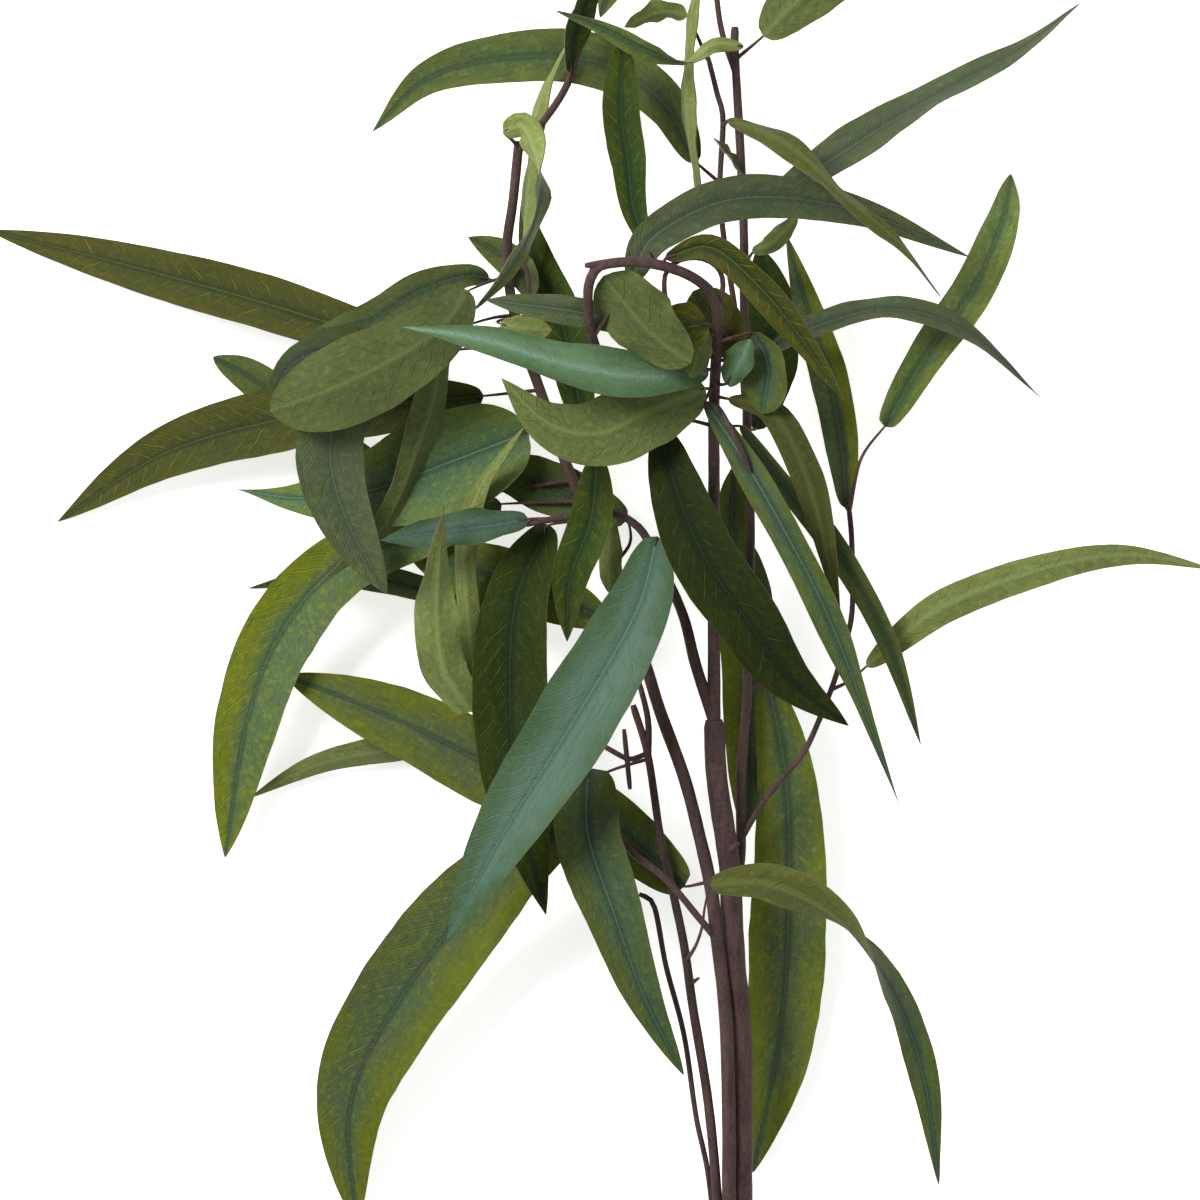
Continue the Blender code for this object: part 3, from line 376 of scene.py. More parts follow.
def place(point):
    """A drawing point as a point of the branch in metres, drawn in towards the eye by its height."""
    u, v, h = point
    nearness = (EYE_DISTANCE - (h - STEM_PLANE)) / EYE_DISTANCE
    flat = DRAWING_MIDDLE + (Vector((u, v)) - DRAWING_MIDDLE) * nearness
    return Vector(((flat.x - ORIGIN_U) * MM, (flat.y - ORIGIN_V) * MM, h * MM))


def spline_point(before, start, end, after, t):
    """One point of a Catmull-Rom stretch between start and end."""
    return 0.5 * (2.0 * start + (end - before) * t
                  + (2.0 * before - 5.0 * start + 4.0 * end - after) * t * t
                  + (3.0 * start - before - 3.0 * end + after) * t * t * t)


def curve_at(points, fraction):
    """The point at a fraction of the way along the smooth curve through the points."""
    lengths = [(b - a).length for a, b in zip(points, points[1:])]
    distance = min(max(fraction, 0.0), 1.0) * sum(lengths)
    last = len(lengths) - 1
    index = 0
    while index < last and distance > lengths[index]:
        distance -= lengths[index]
        index += 1
    start = points[index]
    end = points[index + 1]
    before = points[index - 1] if index > 0 else start * 2.0 - end
    after = points[index + 2] if index < last else end * 2.0 - start
    return spline_point(before, start, end, after, distance / lengths[index])


def route_length(points):
    return sum((b - a).length for a, b in zip(points, points[1:]))


def width_at(fraction, outline):
    """Share of the full width, rising from the base and falling to the tip as the outline says."""
    rise, fall, point = outline
    belly = rise / (rise + fall * point)
    most = belly ** (rise / fall) * (1.0 - belly) ** point
    return fraction ** rise * (1.0 - fraction ** fall) ** point / most


def roll_at(rolls, fraction):
    """The roll in degrees at a fraction of the length, read between evenly spaced values."""
    steps = len(rolls) - 1
    index = min(int(fraction * steps), steps - 1)
    share = fraction * steps - index
    return rolls[index] + (rolls[index + 1] - rolls[index]) * share


def across_at(line, leaf, t):
    """The direction of the leaf there, and the direction from its left margin to its right one."""
    along = (curve_at(line, min(t + 0.02, 1.0)) - curve_at(line, max(t - 0.02, 0.0))).normalized()
    level = along.cross(Vector((0.0, 0.0, 1.0))).normalized()
    roll = math.radians(roll_at(leaf.roll, t))
    return along, Matrix.Rotation(roll, 3, along) @ level


# Linear colours of a leaf face: beside the midrib, at the margins, of the side veins, of the soft band
# along the midrib and of the fine line in it.
Tone = namedtuple("Tone", "middle margin vein band line")
UPPER_TONES = {
    "deep": Tone((0.012, 0.025, 0.005), (0.022, 0.035, 0.004), (0.070, 0.092, 0.009),
                 (0.006, 0.018, 0.007), (0.029, 0.048, 0.012)),
    "mid": Tone((0.044, 0.078, 0.024), (0.082, 0.110, 0.018), (0.135, 0.165, 0.028),
                (0.020, 0.048, 0.022), (0.060, 0.100, 0.036)),
    "teal": Tone((0.085, 0.158, 0.114), (0.046, 0.092, 0.034), (0.115, 0.210, 0.140),
                 (0.042, 0.100, 0.068), (0.130, 0.220, 0.155)),
    "sea": Tone((0.105, 0.190, 0.100), (0.050, 0.105, 0.032), (0.120, 0.220, 0.100),
                (0.140, 0.240, 0.155), (0.200, 0.310, 0.220)),
    "teal_dark": Tone((0.033, 0.066, 0.036), (0.056, 0.080, 0.010), (0.100, 0.140, 0.035),
                      (0.015, 0.040, 0.025), (0.095, 0.150, 0.090)),
    "olive": Tone((0.033, 0.047, 0.004), (0.060, 0.062, 0.003), (0.200, 0.200, 0.007),
                  (0.014, 0.030, 0.006), (0.125, 0.140, 0.010)),
    "bright": Tone((0.052, 0.096, 0.046), (0.112, 0.136, 0.003), (0.170, 0.200, 0.010),
                   (0.018, 0.046, 0.028), (0.070, 0.120, 0.052)),
    "grey": Tone((0.056, 0.083, 0.040), (0.076, 0.100, 0.034), (0.110, 0.140, 0.060),
                 (0.040, 0.066, 0.036), (0.140, 0.175, 0.088)),
}
UNDER_TONES = {
    "pale": Tone((0.098, 0.130, 0.038), (0.116, 0.150, 0.040), (0.082, 0.110, 0.028),
                 (0.145, 0.190, 0.052), (0.190, 0.240, 0.075)),
    "olive_under": Tone((0.058, 0.068, 0.015), (0.078, 0.090, 0.016), (0.095, 0.112, 0.022),
                        (0.098, 0.116, 0.026), (0.125, 0.145, 0.034)),
    "lime_under": Tone((0.150, 0.188, 0.054), (0.170, 0.208, 0.052), (0.120, 0.155, 0.038),
                       (0.200, 0.245, 0.080), (0.250, 0.300, 0.110)),
}
# Leaves whose middle has less green than this are dull.
DARKEST_SHINY_GREEN = 0.03
DULL_SHINE = 0.07

# How strongly the parts of the print, and the painted glints on the threads, show over the ground of a leaf
# face.
SPOT_STRENGTH = 0.60
STREAK_STRENGTH = 0.65
RIBBING_STRENGTH = 0.09
BAND_STRENGTH = 0.80
LINE_STRENGTH = 0.65
RIM_STRENGTH = 0.40
THREAD_AND_GLINT_STRENGTH = 0.38

# Spacings and widths on a leaf face in millimetres, the veins' slant in millimetres along for each
# millimetre across, the turn of the weave in radians and its threads in radians for each millimetre.
VEIN_SPACING = 6.4
VEIN_STAGGER = 1.6
VEIN_WANDER = 7.0
VEIN_SLANT = -1.15
RIB_SPACING = 1.55
BAND_CORE = 0.6
BAND_UNEVENNESS = 1.6
WEAVE_TURN = 0.6
THREAD_WAVE = 13.0

# Grain of the noises on a leaf face, in spots for each millimetre.
BLOTCH_GRAIN = 0.05
WANDER_GRAIN = 0.09
BREAK_GRAIN = 0.22
MOTTLE_GRAIN = 0.45
STREAK_GRAIN = 1.0
PAINTED_GLINT_GRAIN = 1.6
STREAK_DRAW = 0.14

# How far blotches and the tip carry the margin's colour inwards, in half widths of the blade.
BLOTCH_SHIFT = 1.5
TIP_SHIFT = 0.35

# Depths of the relief as shares of the bump, whose full depth is in metres.
LEAF_BUMP_DEPTH = 0.0008
WEAVE_RELIEF = 0.06
RIBBING_RELIEF = 0.06
MOTTLE_RELIEF = 0.6
BARK_BUMP_DEPTH = 0.0006

# What differs between the two faces of a leaf.
Side = namedtuple("Side", "vein_strength vein_relief band_width smoothest roughest shine sheen")
UPPER = Side(vein_strength=0.80, vein_relief=-0.35, band_width=2.7, smoothest=0.34, roughest=0.58,
             shine=0.20, sheen=0.0)
UNDER = Side(vein_strength=0.35, vein_relief=0.35, band_width=1.7, smoothest=0.60, roughest=0.85,
             shine=0.12, sheen=0.08)

BARK_LIGHT = (0.088, 0.048, 0.041)
BARK_DARK = (0.030, 0.016, 0.014)
STALK_LIGHT = (0.120, 0.058, 0.042)
STALK_DARK = (0.045, 0.020, 0.016)
RIM = (0.130, 0.100, 0.045)
CUT_FACE = (0.270, 0.190, 0.120)
WHITE = (1.0, 1.0, 1.0, 1.0)
FLOOR = (0.95, 0.95, 0.95)
FLOOR_GLOW = 0.60

# Metres and watts.
FLOOR_WIDTH = 14.0
KEY_PLACE = (-1.0, 0.8, 1.6)
KEY_WIDTH = 0.8
KEY_POWER = 44.0
FILL_PLACE = (1.2, -0.6, 1.5)
FILL_WIDTH = 1.6
FILL_POWER = 6.0
WORLD_STRENGTH = 0.38

# The order of the materials on a leaf piece.
UPPER_SLOT, UNDER_SLOT, RIM_SLOT, STALK_SLOT = range(4)


class Nodes:
    """A shorthand for building a node material."""

    def __init__(self, name):
        self.material = bpy.data.materials.new(name)
        self.material.use_nodes = True
        self.tree = self.material.node_tree
        self.shader = self.tree.nodes["Principled BSDF"]

    def add(self, kind, settings=None, **inputs):
        node = self.tree.nodes.new(kind)
        for key, value in (settings or {}).items():
            setattr(node, key, value)
        for key, value in inputs.items():
            self.plug(node.inputs[key.replace("_", " ")], value)
        return node

    def plug(self, socket, value):
        if isinstance(value, bpy.types.NodeSocket):
            self.tree.links.new(value, socket)
        else:
            socket.default_value = value

    def math(self, operation, first, second=0.0, third=0.0):
        node = self.tree.nodes.new("ShaderNodeMath")
        node.operation = operation
        for socket, value in zip(node.inputs, (first, second, third)):
            self.plug(socket, value)
        return node.outputs[0]

    def mix(self, factor, first, second, blend="MIX"):
        node = self.tree.nodes.new("ShaderNodeMix")
        node.data_type = "RGBA"
        node.blend_type = blend
        self.plug(node.inputs[0], factor)
        self.plug(node.inputs[6], opaque(first))
        self.plug(node.inputs[7], opaque(second))
        return node.outputs[2]

    def band(self, value, low, high):
        """Zero below low and one above high, with a smooth step between."""
        node = self.tree.nodes.new("ShaderNodeMapRange")
        node.interpolation_type = "SMOOTHSTEP"
        self.plug(node.inputs["Value"], value)
        self.plug(node.inputs["From Min"], low)
        self.plug(node.inputs["From Max"], high)
        return node.outputs[0]

    def noise(self, vector, scale, detail=2.0, seed=0.0, roughness=0.5):
        node = self.add("ShaderNodeTexNoise", {"noise_dimensions": "4D"}, Vector=vector, Scale=scale,
                        Detail=detail, W=seed, Roughness=roughness)
        return node.outputs[0]


def opaque(color):
    return color if isinstance(color, bpy.types.NodeSocket) else (*color, 1.0)


def stripes(nodes, count, low, high):
    """Thin lines where the count passes a half: one on a line and zero between the lines."""
    nearness = nodes.math("ABSOLUTE", nodes.math("SUBTRACT", nodes.math("FRACT", count), 0.5))
    return nodes.math("SUBTRACT", 1.0, nodes.band(nearness, low, high))


Face = namedtuple("Face", "size_map sideways outward along across_mm along_mm seed lean shade")


def own_value(nodes, name):
    """A value that each leaf carries for itself."""
    return nodes.add("ShaderNodeAttribute", {"attribute_name": name}).outputs["Fac"]


def leaf_face(nodes):
    """Where a point lies on its leaf, in shares of the blade and in millimetres, and the leaf's values."""
    place_map = nodes.add("ShaderNodeUVMap", {"uv_map": "blade"}).outputs[0]
    size_map = nodes.add("ShaderNodeUVMap", {"uv_map": "size"}).outputs[0]
    place_parts = nodes.add("ShaderNodeSeparateXYZ", Vector=place_map)
    size_parts = nodes.add("ShaderNodeSeparateXYZ", Vector=size_map)
    sideways = nodes.math("MULTIPLY_ADD", place_parts.outputs[0], 2.0, -1.0)
    return Face(size_map=size_map,
                sideways=sideways,
                outward=nodes.math("ABSOLUTE", sideways),
                along=place_parts.outputs[1],
                across_mm=nodes.math("ABSOLUTE", size_parts.outputs[0]),
                along_mm=size_parts.outputs[1],
                seed=own_value(nodes, "variation"),
                lean=own_value(nodes, "lean"),
                shade=own_value(nodes, "shade"))


def leaf_ground(nodes, tone, face, blotch, mottle):
    """The airbrushed ground: the middle's colour, the margin's at edge and tip, spots and streaks."""
    streak_map = nodes.add("ShaderNodeMapping", Vector=face.size_map, Scale=(1.0, STREAK_DRAW, 1.0))
    streak = nodes.noise(streak_map.outputs[0], STREAK_GRAIN, 3.0, face.seed, 0.6)
    # The margin's colour leans onto one half: partly print, partly painted light and shade of the fold.
    spread = nodes.math("MULTIPLY_ADD", face.sideways, face.lean, face.outward)
    blotched = nodes.math("MULTIPLY_ADD", blotch, BLOTCH_SHIFT, -0.5 * BLOTCH_SHIFT)
    near_tip = nodes.math("MULTIPLY", nodes.band(face.along, 0.6, 1.0), TIP_SHIFT)
    spread = nodes.math("ADD", nodes.math("ADD", spread, blotched), near_tip)
    ground = nodes.mix(nodes.band(spread, 0.1, 1.0), tone.middle, tone.margin)
    lighter = tuple(1.7 * c + 0.004 for c in tone.margin)
    darker = tuple(0.55 * c for c in tone.middle)
    spots = nodes.math("MULTIPLY", nodes.band(mottle, 0.46, 0.72), SPOT_STRENGTH)
    streaks = nodes.math("MULTIPLY", nodes.band(streak, 0.46, 0.74), STREAK_STRENGTH)
    return nodes.mix(streaks, nodes.mix(spots, ground, lighter), darker)


def leaf_veins(nodes, face):
    """How strongly a slanted side vein shows, and how strongly the fine ribs between the veins do."""
    wander = nodes.noise(face.size_map, WANDER_GRAIN, 2.0, face.seed)
    wobble = nodes.math("MULTIPLY_ADD", wander, VEIN_WANDER, -0.5 * VEIN_WANDER)
    slanted = nodes.math("MULTIPLY_ADD", face.across_mm, VEIN_SLANT, face.along_mm)
    slanted = nodes.math("ADD", slanted, wobble)
    stagger = nodes.math("MULTIPLY", nodes.math("SIGN", face.sideways), VEIN_STAGGER)
    count = nodes.math("DIVIDE", nodes.math("ADD", slanted, stagger), VEIN_SPACING)
    broken = nodes.band(nodes.noise(face.size_map, BREAK_GRAIN, 2.0, face.seed), 0.38, 0.60)
    faded = nodes.math("SUBTRACT", 1.0, nodes.band(face.outward, 0.60, 0.97))
    vein = nodes.math("MULTIPLY", stripes(nodes, count, 0.016, 0.062), broken)
    ribbing = stripes(nodes, nodes.math("DIVIDE", slanted, RIB_SPACING), 0.10, 0.42)
    return nodes.math("MULTIPLY", vein, faded), ribbing


def add_midrib(nodes, color, tone, face, blotch, side):
    """The soft band along the midrib, the fine line in it and the thin rim at the margins."""
    narrowing = nodes.math("MULTIPLY_ADD", face.along, -0.75, 1.15)
    from_rib = nodes.math("DIVIDE", face.across_mm, narrowing)
    uneven = nodes.math("MULTIPLY_ADD", nodes.math("SUBTRACT", blotch, 0.5), BAND_UNEVENNESS, from_rib)
    band = nodes.math("SUBTRACT", 1.0, nodes.band(uneven, BAND_CORE, side.band_width))
    line = nodes.math("SUBTRACT", 1.0, nodes.band(from_rib, 0.10, 0.34))
    rim = nodes.band(face.outward, 0.965, 0.995)
    color = nodes.mix(nodes.math("MULTIPLY", band, BAND_STRENGTH), color, tone.band)
    color = nodes.mix(nodes.math("MULTIPLY", line, LINE_STRENGTH), color, tone.line)
    return nodes.mix(nodes.math("MULTIPLY", rim, RIM_STRENGTH), color, RIM)


def fabric_weave(nodes, face):
    """The crossing threads of the fabric, from -1 to 1."""
    weave_map = nodes.add("ShaderNodeMapping", Vector=face.size_map, Rotation=(0.0, 0.0, WEAVE_TURN))
    parts = nodes.add("ShaderNodeSeparateXYZ", Vector=weave_map.outputs[0])
    warp = nodes.math("SINE", nodes.math("MULTIPLY", parts.outputs[0], THREAD_WAVE))
    weft = nodes.math("SINE", nodes.math("MULTIPLY", parts.outputs[1], THREAD_WAVE))
    return nodes.math("MULTIPLY", warp, weft)


def add_threads_and_painted_glints(nodes, color, tone, face, weave):
    """Lighter single threads of the weave: yellow-green print threads with a painted glint on them."""
    # The glint is painted light: a lighter copy of the margin's colour laid on scattered threads.
    painted_glint = nodes.noise(face.size_map, PAINTED_GLINT_GRAIN, 3.0, face.seed)
    bright = nodes.band(nodes.math("MULTIPLY", nodes.math("ADD", weave, 1.0), painted_glint), 0.55, 1.15)
    thread_and_glint_color = tuple(2.1 * c + 0.006 for c in tone.margin)
    return nodes.mix(nodes.math("MULTIPLY", bright, THREAD_AND_GLINT_STRENGTH), color, thread_and_glint_color)


def add_bumps(nodes, relief, strength, depth):
    bump = nodes.add("ShaderNodeBump", Height=relief, Strength=strength, Distance=depth)
    nodes.plug(nodes.shader.inputs["Normal"], bump.outputs[0])


def add_roughness(nodes, unevenness, smoothest, roughest):
    gloss = nodes.add("ShaderNodeMapRange", Value=unevenness)
    gloss.inputs["To Min"].default_value = smoothest
    gloss.inputs["To Max"].default_value = roughest
    nodes.plug(nodes.shader.inputs["Roughness"], gloss.outputs[0])


def leaf_material(name, tone, side):
    """A printed leaf face: airbrushed ground, slanted veins, banded midrib, thin rim, weave and painted
    glints.
    """
    nodes = Nodes(name)
    face = leaf_face(nodes)
    blotch = nodes.noise(face.size_map, BLOTCH_GRAIN, 3.0, face.seed, 0.6)
    mottle = nodes.noise(face.size_map, MOTTLE_GRAIN, 4.0, face.seed, 0.65)
    vein, ribbing = leaf_veins(nodes, face)
    weave = fabric_weave(nodes, face)

    color = leaf_ground(nodes, tone, face, blotch, mottle)
    color = nodes.mix(nodes.math("MULTIPLY", ribbing, RIBBING_STRENGTH), color, tone.vein)
    color = nodes.mix(nodes.math("MULTIPLY", vein, side.vein_strength), color, tone.vein)
    color = add_midrib(nodes, color, tone, face, blotch, side)
    color = add_threads_and_painted_glints(nodes, color, tone, face, weave)
    shade = nodes.add("ShaderNodeCombineColor", Red=face.shade, Green=face.shade, Blue=face.shade)
    color = nodes.mix(1.0, color, shade.outputs[0], "MULTIPLY")
    nodes.plug(nodes.shader.inputs["Base Color"], color)

    relief = nodes.math("MULTIPLY_ADD", weave, WEAVE_RELIEF, nodes.math("MULTIPLY", mottle, MOTTLE_RELIEF))
    relief = nodes.math("MULTIPLY_ADD", ribbing, RIBBING_RELIEF, relief)
    relief = nodes.math("MULTIPLY_ADD", vein, side.vein_relief, relief)
    add_bumps(nodes, relief, 0.85, LEAF_BUMP_DEPTH)
    add_roughness(nodes, mottle, side.smoothest, side.roughest)
    shine = side.shine if tone.middle[1] > DARKEST_SHINY_GREEN else DULL_SHINE
    nodes.shader.inputs["Specular IOR Level"].default_value = shine
    nodes.shader.inputs["Sheen Weight"].default_value = side.sheen
    nodes.shader.inputs["Sheen Roughness"].default_value = 0.5
    return nodes.material


def bark_material(name, light, dark, scale):
    """Moulded bark: fine grain, lengthwise streaks and painted highlights in soft patches."""
    nodes = Nodes(name)
    position = nodes.add("ShaderNodeTexCoord").outputs["Object"]
    grain = nodes.noise(position, scale * 900.0, 4.0, 1.0, 0.7)
    stretched = nodes.add("ShaderNodeMapping", Vector=position, Scale=(1.0, 0.15, 1.0)).outputs[0]
    streak = nodes.noise(stretched, scale * 420.0, 3.0, 2.0, 0.6)
    patch = nodes.noise(position, scale * 60.0, 2.0, 3.0)
    tone = nodes.math("MULTIPLY_ADD", grain, 0.55, nodes.math("MULTIPLY", streak, 0.45))
    color = nodes.mix(nodes.band(tone, 0.38, 0.66), dark, light)
    # Painted highlight: soft patches lightened beyond the bark's light colour.
    painted_highlight = nodes.math("MULTIPLY", nodes.band(patch, 0.45, 0.75), 0.35)
    color = nodes.mix(painted_highlight, color, tuple(1.35 * c for c in light))
    nodes.plug(nodes.shader.inputs["Base Color"], color)
    add_bumps(nodes, tone, 0.7, BARK_BUMP_DEPTH)
    add_roughness(nodes, grain, 0.62, 0.90)
    nodes.shader.inputs["Specular IOR Level"].default_value = 0.3
    return nodes.material


def plain_noise_material(name, color, scale, depth, roughness):
    """One colour with a fine grain that darkens it by up to the depth."""
    nodes = Nodes(name)
    position = nodes.add("ShaderNodeTexCoord").outputs["Object"]
    grain = nodes.noise(position, scale, 3.0, 4.0)
    shaded = nodes.mix(nodes.math("MULTIPLY", grain, depth), color, tuple(0.7 * c for c in color))
    nodes.plug(nodes.shader.inputs["Base Color"], shaded)
    nodes.shader.inputs["Roughness"].default_value = roughness
    return nodes.material


def floor_material():
    """A white floor that glows faintly, as a lit studio table does, which keeps its shadows soft."""
    material = plain_noise_material("floor_finish", FLOOR, 3.0, 0.02, 0.9)
    shader = material.node_tree.nodes["Principled BSDF"]
    shader.inputs["Emission Color"].default_value = WHITE
    shader.inputs["Emission Strength"].default_value = FLOOR_GLOW
    return material


def make_materials():
    """Every material of the branch, by the short name that the tables use."""
    materials = {"rim": plain_noise_material("leaf_rim", RIM, 600.0, 0.5, 0.7),
                 "cut": plain_noise_material("cut_face", CUT_FACE, 500.0, 0.6, 0.8),
                 "bark": bark_material("bark", BARK_LIGHT, BARK_DARK, 1.0),
                 "stalk": bark_material("leaf_stalk", STALK_LIGHT, STALK_DARK, 1.6)}
    for tone, colors in UPPER_TONES.items():
        materials[tone] = leaf_material("leaf_upper_" + tone, colors, UPPER)
    for tone, colors in UNDER_TONES.items():
        materials[tone] = leaf_material("leaf_under_" + tone, colors, UNDER)
    return materials


def ring_frames(points):
    """Along, side and up directions at each point, carried along without twist."""
    frames = []
    side = Vector((1.0, 0.0, 0.0))
    for index, point in enumerate(points):
        before = points[max(index - 1, 0)]
        after = points[min(index + 1, len(points) - 1)]
        along = (after - before).normalized()
        side = (side - along * side.dot(along)).normalized()
        frames.append((point, side.copy(), along.cross(side).normalized()))
    return frames


def add_tube(vertices, faces, points, radii, sides):
    """Appends a closed tube with one radius for each point."""
    start = len(vertices)
    for (point, side, up), radius in zip(ring_frames(points), radii):
        for k in range(sides):
            turn = math.tau * k / sides
            vertices.append(point + (side * math.cos(turn) + up * math.sin(turn)) * radius)
    for ring in range(len(points) - 1):
        a = start + ring * sides
        for k in range(sides):
            near, far = a + k, a + (k + 1) % sides
            faces.append((near, far, far + sides, near + sides))
    faces.append(tuple(start + k for k in reversed(range(sides))))
    faces.append(tuple(start + (len(points) - 1) * sides + k for k in range(sides)))


def make_piece(name, vertices, faces, node):
    """A smooth piece of the branch that takes the place of the node."""
    mesh = bpy.data.meshes.new(name)
    mesh.from_pydata([vertex[:] for vertex in vertices], [], faces)
    mesh.shade_smooth()
    piece = bpy.data.objects.new(name, mesh)
    bpy.context.scene.collection.objects.link(piece)
    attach(piece, "root")
    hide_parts(node)
    return piece


def sampled(points, step):
    """Points along the smooth curve through the given ones, about a step apart."""
    count = max(3, round(route_length(points) / (step * MM)) + 1)
    return [curve_at(points, index / (count - 1)) for index in range(count)]


def stem_radius(base, tip, fraction, point, seed):
    """The taper of a stem with its low swellings."""
    swelling = STEM_SWELLING * noise.noise(point * 160.0 + Vector((seed, 0.0, 0.0)))
    return (base + (tip - base) * fraction) * MM * (1.0 + swelling)


def build_stem(name, stems, node, materials):
    """One piece of wood from several routes: the stem itself and the bare twigs that leave it."""
    vertices, faces = [], []
    caps = []
    for index, stem in enumerate(stems):
        points = sampled([place(point) for point in stem.route], STEM_RING_STEP)
        last = len(points) - 1
        radii = [stem_radius(*stem.radii, k / last, point, index) for k, point in enumerate(points)]
        radii[-1] *= STEM_END
        add_tube(vertices, faces, points, radii, STEM_SIDES)
        caps.append(len(faces) - 2)
    piece = make_piece(name, vertices, faces, node)
    piece.data.materials.append(materials["bark"])
    piece.data.materials.append(materials["cut"])
    if node == "trunk":
        piece.data.polygons[caps[0]].material_index = 1
    piece.data.set_sharp_from_angle(angle=STEM_SHARP_ANGLE)
    return piece


def blade_point(line, leaf, t, s, phase, seed):
    """A point of the blade's middle surface, its up direction and the half width there.

    s runs from -1 at the left margin to 1 at the right one.
    """
    middle = curve_at(line, t)
    along, across = across_at(line, leaf, t)
    up = across.cross(along).normalized()
    share = width_at(t, leaf.outline)
    side = 4.0 if s > 0 else 9.0
    uneven = 1.0 + MARGIN_DENTS * noise.noise(Vector((seed, t * 7.0, side)))
    uneven += MARGIN_NICKS * noise.noise(Vector((seed, t * 26.0, side)))
    half = 0.5 * MM * math.hypot(leaf.width * share * uneven, BLADE_BASE_WIDTH * (1.0 - t))
    lift = 0.5 * leaf.width * MM * share * FOLD * share * abs(s) ** FOLD_CREASE
    wave = leaf.wave * MM * math.sin(math.tau * WAVES * t + phase) * share * s * abs(s)
    ripple = math.sin(math.tau * RIPPLES_PER_BLADE * t + phase * 2.3 + side) * abs(s) ** 3
    ripple *= RIPPLE_HEIGHT * MM * share
    ripple *= 0.4 + noise.noise(Vector((seed * 1.7, t * 6.0, side)))
    return middle + across * (half * s) + up * (lift + wave + ripple), up, half


def blade_net(line, leaf, rows, phase, seed):
    """The points of the upper face and then of the under face, with their two maps.

    One map holds shares of the blade and the other one millimetres.
    """
    length = route_length(line)
    vertices, place_uv, size_uv = [], [], []
    for side in (1.0, -1.0):
        for row in range(rows + 1):
            u = row / rows
            crowded = 0.5 - 0.5 * math.cos(math.pi * u)
            t = EVEN_SHARE_OF_ROWS * u + (1.0 - EVEN_SHARE_OF_ROWS) * crowded
            for column in range(BLADE_STRIPS + 1):
                s = -1.0 + 2.0 * column / BLADE_STRIPS
                s = math.copysign(abs(s) ** STRIP_CROWDING, s)
                point, up, half = blade_point(line, leaf, t, s, phase, seed)
                rib = math.exp(-(s * half / (RIB_HALF_WIDTH * MM)) ** 2) * (1.0 - RIB_FADE * t)
                shift = 0.5 * BLADE_THICKNESS * side - RIB_HEIGHT * rib
                vertices.append(point + up * (shift * MM))
                place_uv.append((0.5 + 0.5 * s, t))
                size_uv.append((s * half / MM, t * length / MM))
    return vertices, place_uv, size_uv


def blade_faces(rows):
    """The faces over the points of a blade, and the material slot of each."""
    width = BLADE_STRIPS + 1
    under = (rows + 1) * width
    faces, slots = [], []
    for row in range(rows):
        for column in range(BLADE_STRIPS):
            a = row * width + column
            b, c, d = a + 1, a + width + 1, a + width
            faces += [(a, b, c, d), (under + a, under + d, under + c, under + b)]
            slots += [UPPER_SLOT, UNDER_SLOT]
        left = row * width
        right = left + BLADE_STRIPS
        faces.append((left, left + width, under + left + width, under + left))
        faces.append((right, under + right, under + right + width, right + width))
        slots += [RIM_SLOT, RIM_SLOT]
    for column in range(BLADE_STRIPS):
        base = column
        tip = rows * width + column
        faces.append((base, under + base, under + base + 1, base + 1))
        faces.append((tip, tip + 1, under + tip + 1, under + tip))
        slots += [RIM_SLOT, RIM_SLOT]
    return faces, slots


def add_stalk(vertices, faces, leaf, line):
    """Appends the stalk, from the stem to a little way along the blade."""
    on_blade = curve_at(line, min(0.5, STALK_ON_BLADE * MM / route_length(line)))
    route = [place(point) for point in leaf.root] + [line[0], on_blade]
    points = sampled(route, STALK_STEP)
    last = len(points) - 1
    radii = [STALK_RADIUS * MM * (1.0 - STALK_TAPER * k / last) for k in range(last + 1)]
    add_tube(vertices, faces, points, radii, STALK_SIDES)


def add_map(mesh, name, places):
    """A UV map from one place for each vertex."""
    loop_vertices = np.zeros(len(mesh.loops), dtype=np.int32)
    mesh.loops.foreach_get("vertex_index", loop_vertices)
    table = np.array(places, dtype=np.float32)
    mesh.uv_layers.new(name=name).data.foreach_set("uv", table[loop_vertices].ravel())


def add_value(mesh, name, value):
    """A value that the whole leaf carries for its materials."""
    attribute = mesh.attributes.new(name, "FLOAT", "POINT")
    attribute.data.foreach_set("value", np.full(len(mesh.vertices), value, dtype=np.float32))


def build_leaf(name, leaf, node, index, materials):
    """One leaf: upper face, under face, rim and stalk."""
    phase = 1.7 * index
    seed = 3.1 * (1 + len(name)) + 0.77 * index
    line = [place(point) for point in leaf.line]
    rows = max(FEWEST_ROWS, round(route_length(line) / (BLADE_STEP * MM)))
    vertices, place_uv, size_uv = blade_net(line, leaf, rows, phase, seed)
    faces, slots = blade_faces(rows)
    add_stalk(vertices, faces, leaf, line)
    slots += [STALK_SLOT] * (len(faces) - len(slots))

    piece = make_piece(name, vertices, faces, node)
    mesh = piece.data
    for key in (leaf.look.upper, leaf.look.under, "rim", "stalk"):
        mesh.materials.append(materials[key])
    mesh.polygons.foreach_set("material_index", slots)
    stalk_uv = [(0.5, 0.0)] * (len(vertices) - len(place_uv))
    add_map(mesh, "blade", place_uv + stalk_uv)
    add_map(mesh, "size", size_uv + stalk_uv)
    add_value(mesh, "variation", seed)
    add_value(mesh, "lean", leaf.look.lean)
    add_value(mesh, "shade", leaf.look.shade)
    mesh.set_sharp_from_angle(angle=BLADE_SHARP_ANGLE)
    return piece


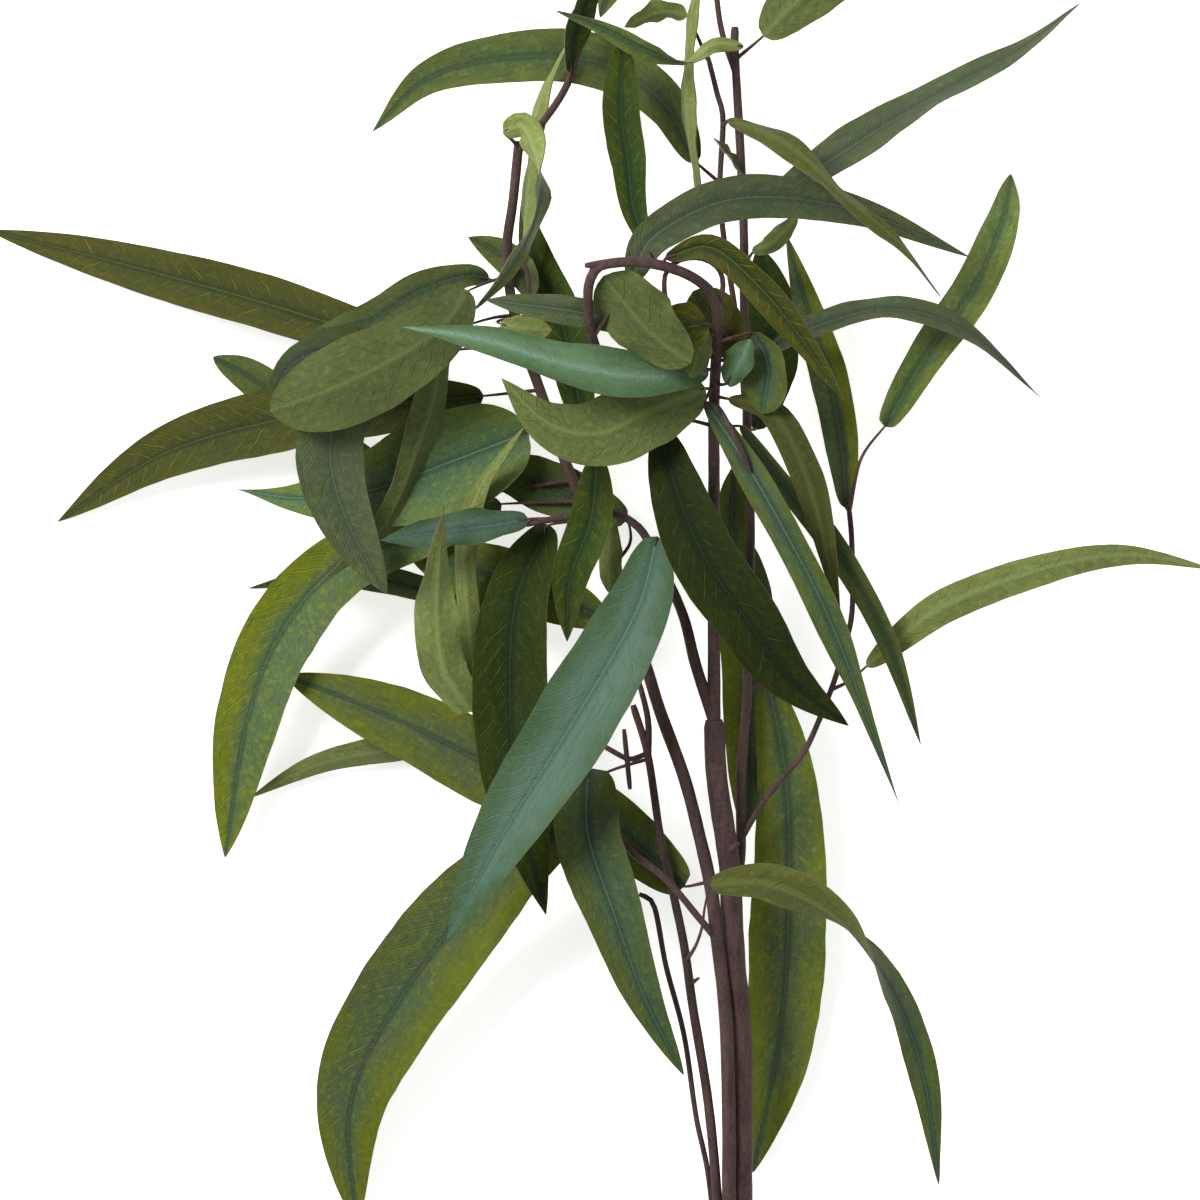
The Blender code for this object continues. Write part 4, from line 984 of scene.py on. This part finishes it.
def build_branch(materials):
    """The trunk, and each other stem with its bare twigs and its leaves."""
    build_stem("trunk_wood", (TRUNK,) + TRUNK_BUDS, "trunk", materials)
    stems = (("nodding_stem", NODDING_STEM, NODDING_EXTRAS, NODDING_LEAVES),
             ("left_fork", LEFT_FORK, (), LEFT_FORK_LEAVES),
             ("long_left_stem", LONG_LEFT_STEM, LONG_LEFT_EXTRAS, LONG_LEFT_LEAVES),
             ("lower_left_twig", LOWER_LEFT_TWIG, (), LOWER_LEFT_LEAVES),
             ("right_stem", RIGHT_STEM, RIGHT_EXTRAS, RIGHT_LEAVES),
             ("right_side_twig", RIGHT_SIDE_TWIG, (), RIGHT_SIDE_LEAVES),
             ("thin_top_stem", THIN_TOP_STEM, (), THIN_TOP_LEAVES),
             ("low_stem", LOW_STEM, LOW_EXTRAS, LOW_LEAVES),
             ("wire_shoot", WIRE_SHOOT, (), {}))
    for node, stem, extras, leaves in stems:
        build_stem(node + "_wood", (stem,) + tuple(extras), node, materials)
        for index, (name, leaf) in enumerate(leaves.items()):
            build_leaf(name, leaf, node, index, materials)


def build_floor():
    """A pale floor, wide enough for a view from any side."""
    bpy.ops.mesh.primitive_plane_add(size=FLOOR_WIDTH, location=(0.0, 0.0, 0.0))
    floor = bpy.context.object
    floor.name = "floor"
    floor.data.materials.append(floor_material())


def add_area_light(name, location, size, power):
    """A square light that faces the middle of the branch."""
    data = bpy.data.lights.new(name, "AREA")
    data.shape = "SQUARE"
    data.size = size
    data.energy = power
    light = bpy.data.objects.new(name, data)
    light.location = location
    light.rotation_mode = "QUATERNION"
    light.rotation_quaternion = (-Vector(location)).to_track_quat("-Z", "Y")
    bpy.context.scene.collection.objects.link(light)


def build_light():
    """A white surround, a key light from the upper left and a weak fill."""
    world = bpy.data.worlds.new("studio")
    world.use_nodes = True
    background = world.node_tree.nodes["Background"]
    background.inputs["Color"].default_value = WHITE
    background.inputs["Strength"].default_value = WORLD_STRENGTH
    bpy.context.scene.world = world
    add_area_light("key", KEY_PLACE, KEY_WIDTH, KEY_POWER)
    add_area_light("fill", FILL_PLACE, FILL_WIDTH, FILL_POWER)


def build_camera():
    """Straight down on the branch, framing the part of it that the photograph shows."""
    data = bpy.data.cameras.new("camera")
    data.sensor_width = SENSOR_WIDTH
    data.lens = SENSOR_WIDTH * EYE_DISTANCE / VIEW_WIDTH
    data.clip_start = 0.05
    data.clip_end = 30.0
    camera = bpy.data.objects.new("camera", data)
    x = (DRAWING_MIDDLE.x - ORIGIN_U) * MM
    y = (DRAWING_MIDDLE.y - ORIGIN_V) * MM
    camera.location = (x, y, (STEM_PLANE + EYE_DISTANCE) * MM)
    bpy.context.scene.collection.objects.link(camera)
    bpy.context.scene.camera = camera


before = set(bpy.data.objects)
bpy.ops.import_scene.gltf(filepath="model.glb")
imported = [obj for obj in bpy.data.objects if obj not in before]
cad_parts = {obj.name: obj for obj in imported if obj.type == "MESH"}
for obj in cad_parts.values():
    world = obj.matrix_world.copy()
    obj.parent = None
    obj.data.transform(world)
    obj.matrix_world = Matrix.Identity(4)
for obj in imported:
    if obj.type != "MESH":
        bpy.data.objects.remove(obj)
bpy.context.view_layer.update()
bpy.context.scene.view_settings.view_transform = "Standard"
build_camera()
build_floor()
build_light()
build_branch(make_materials())
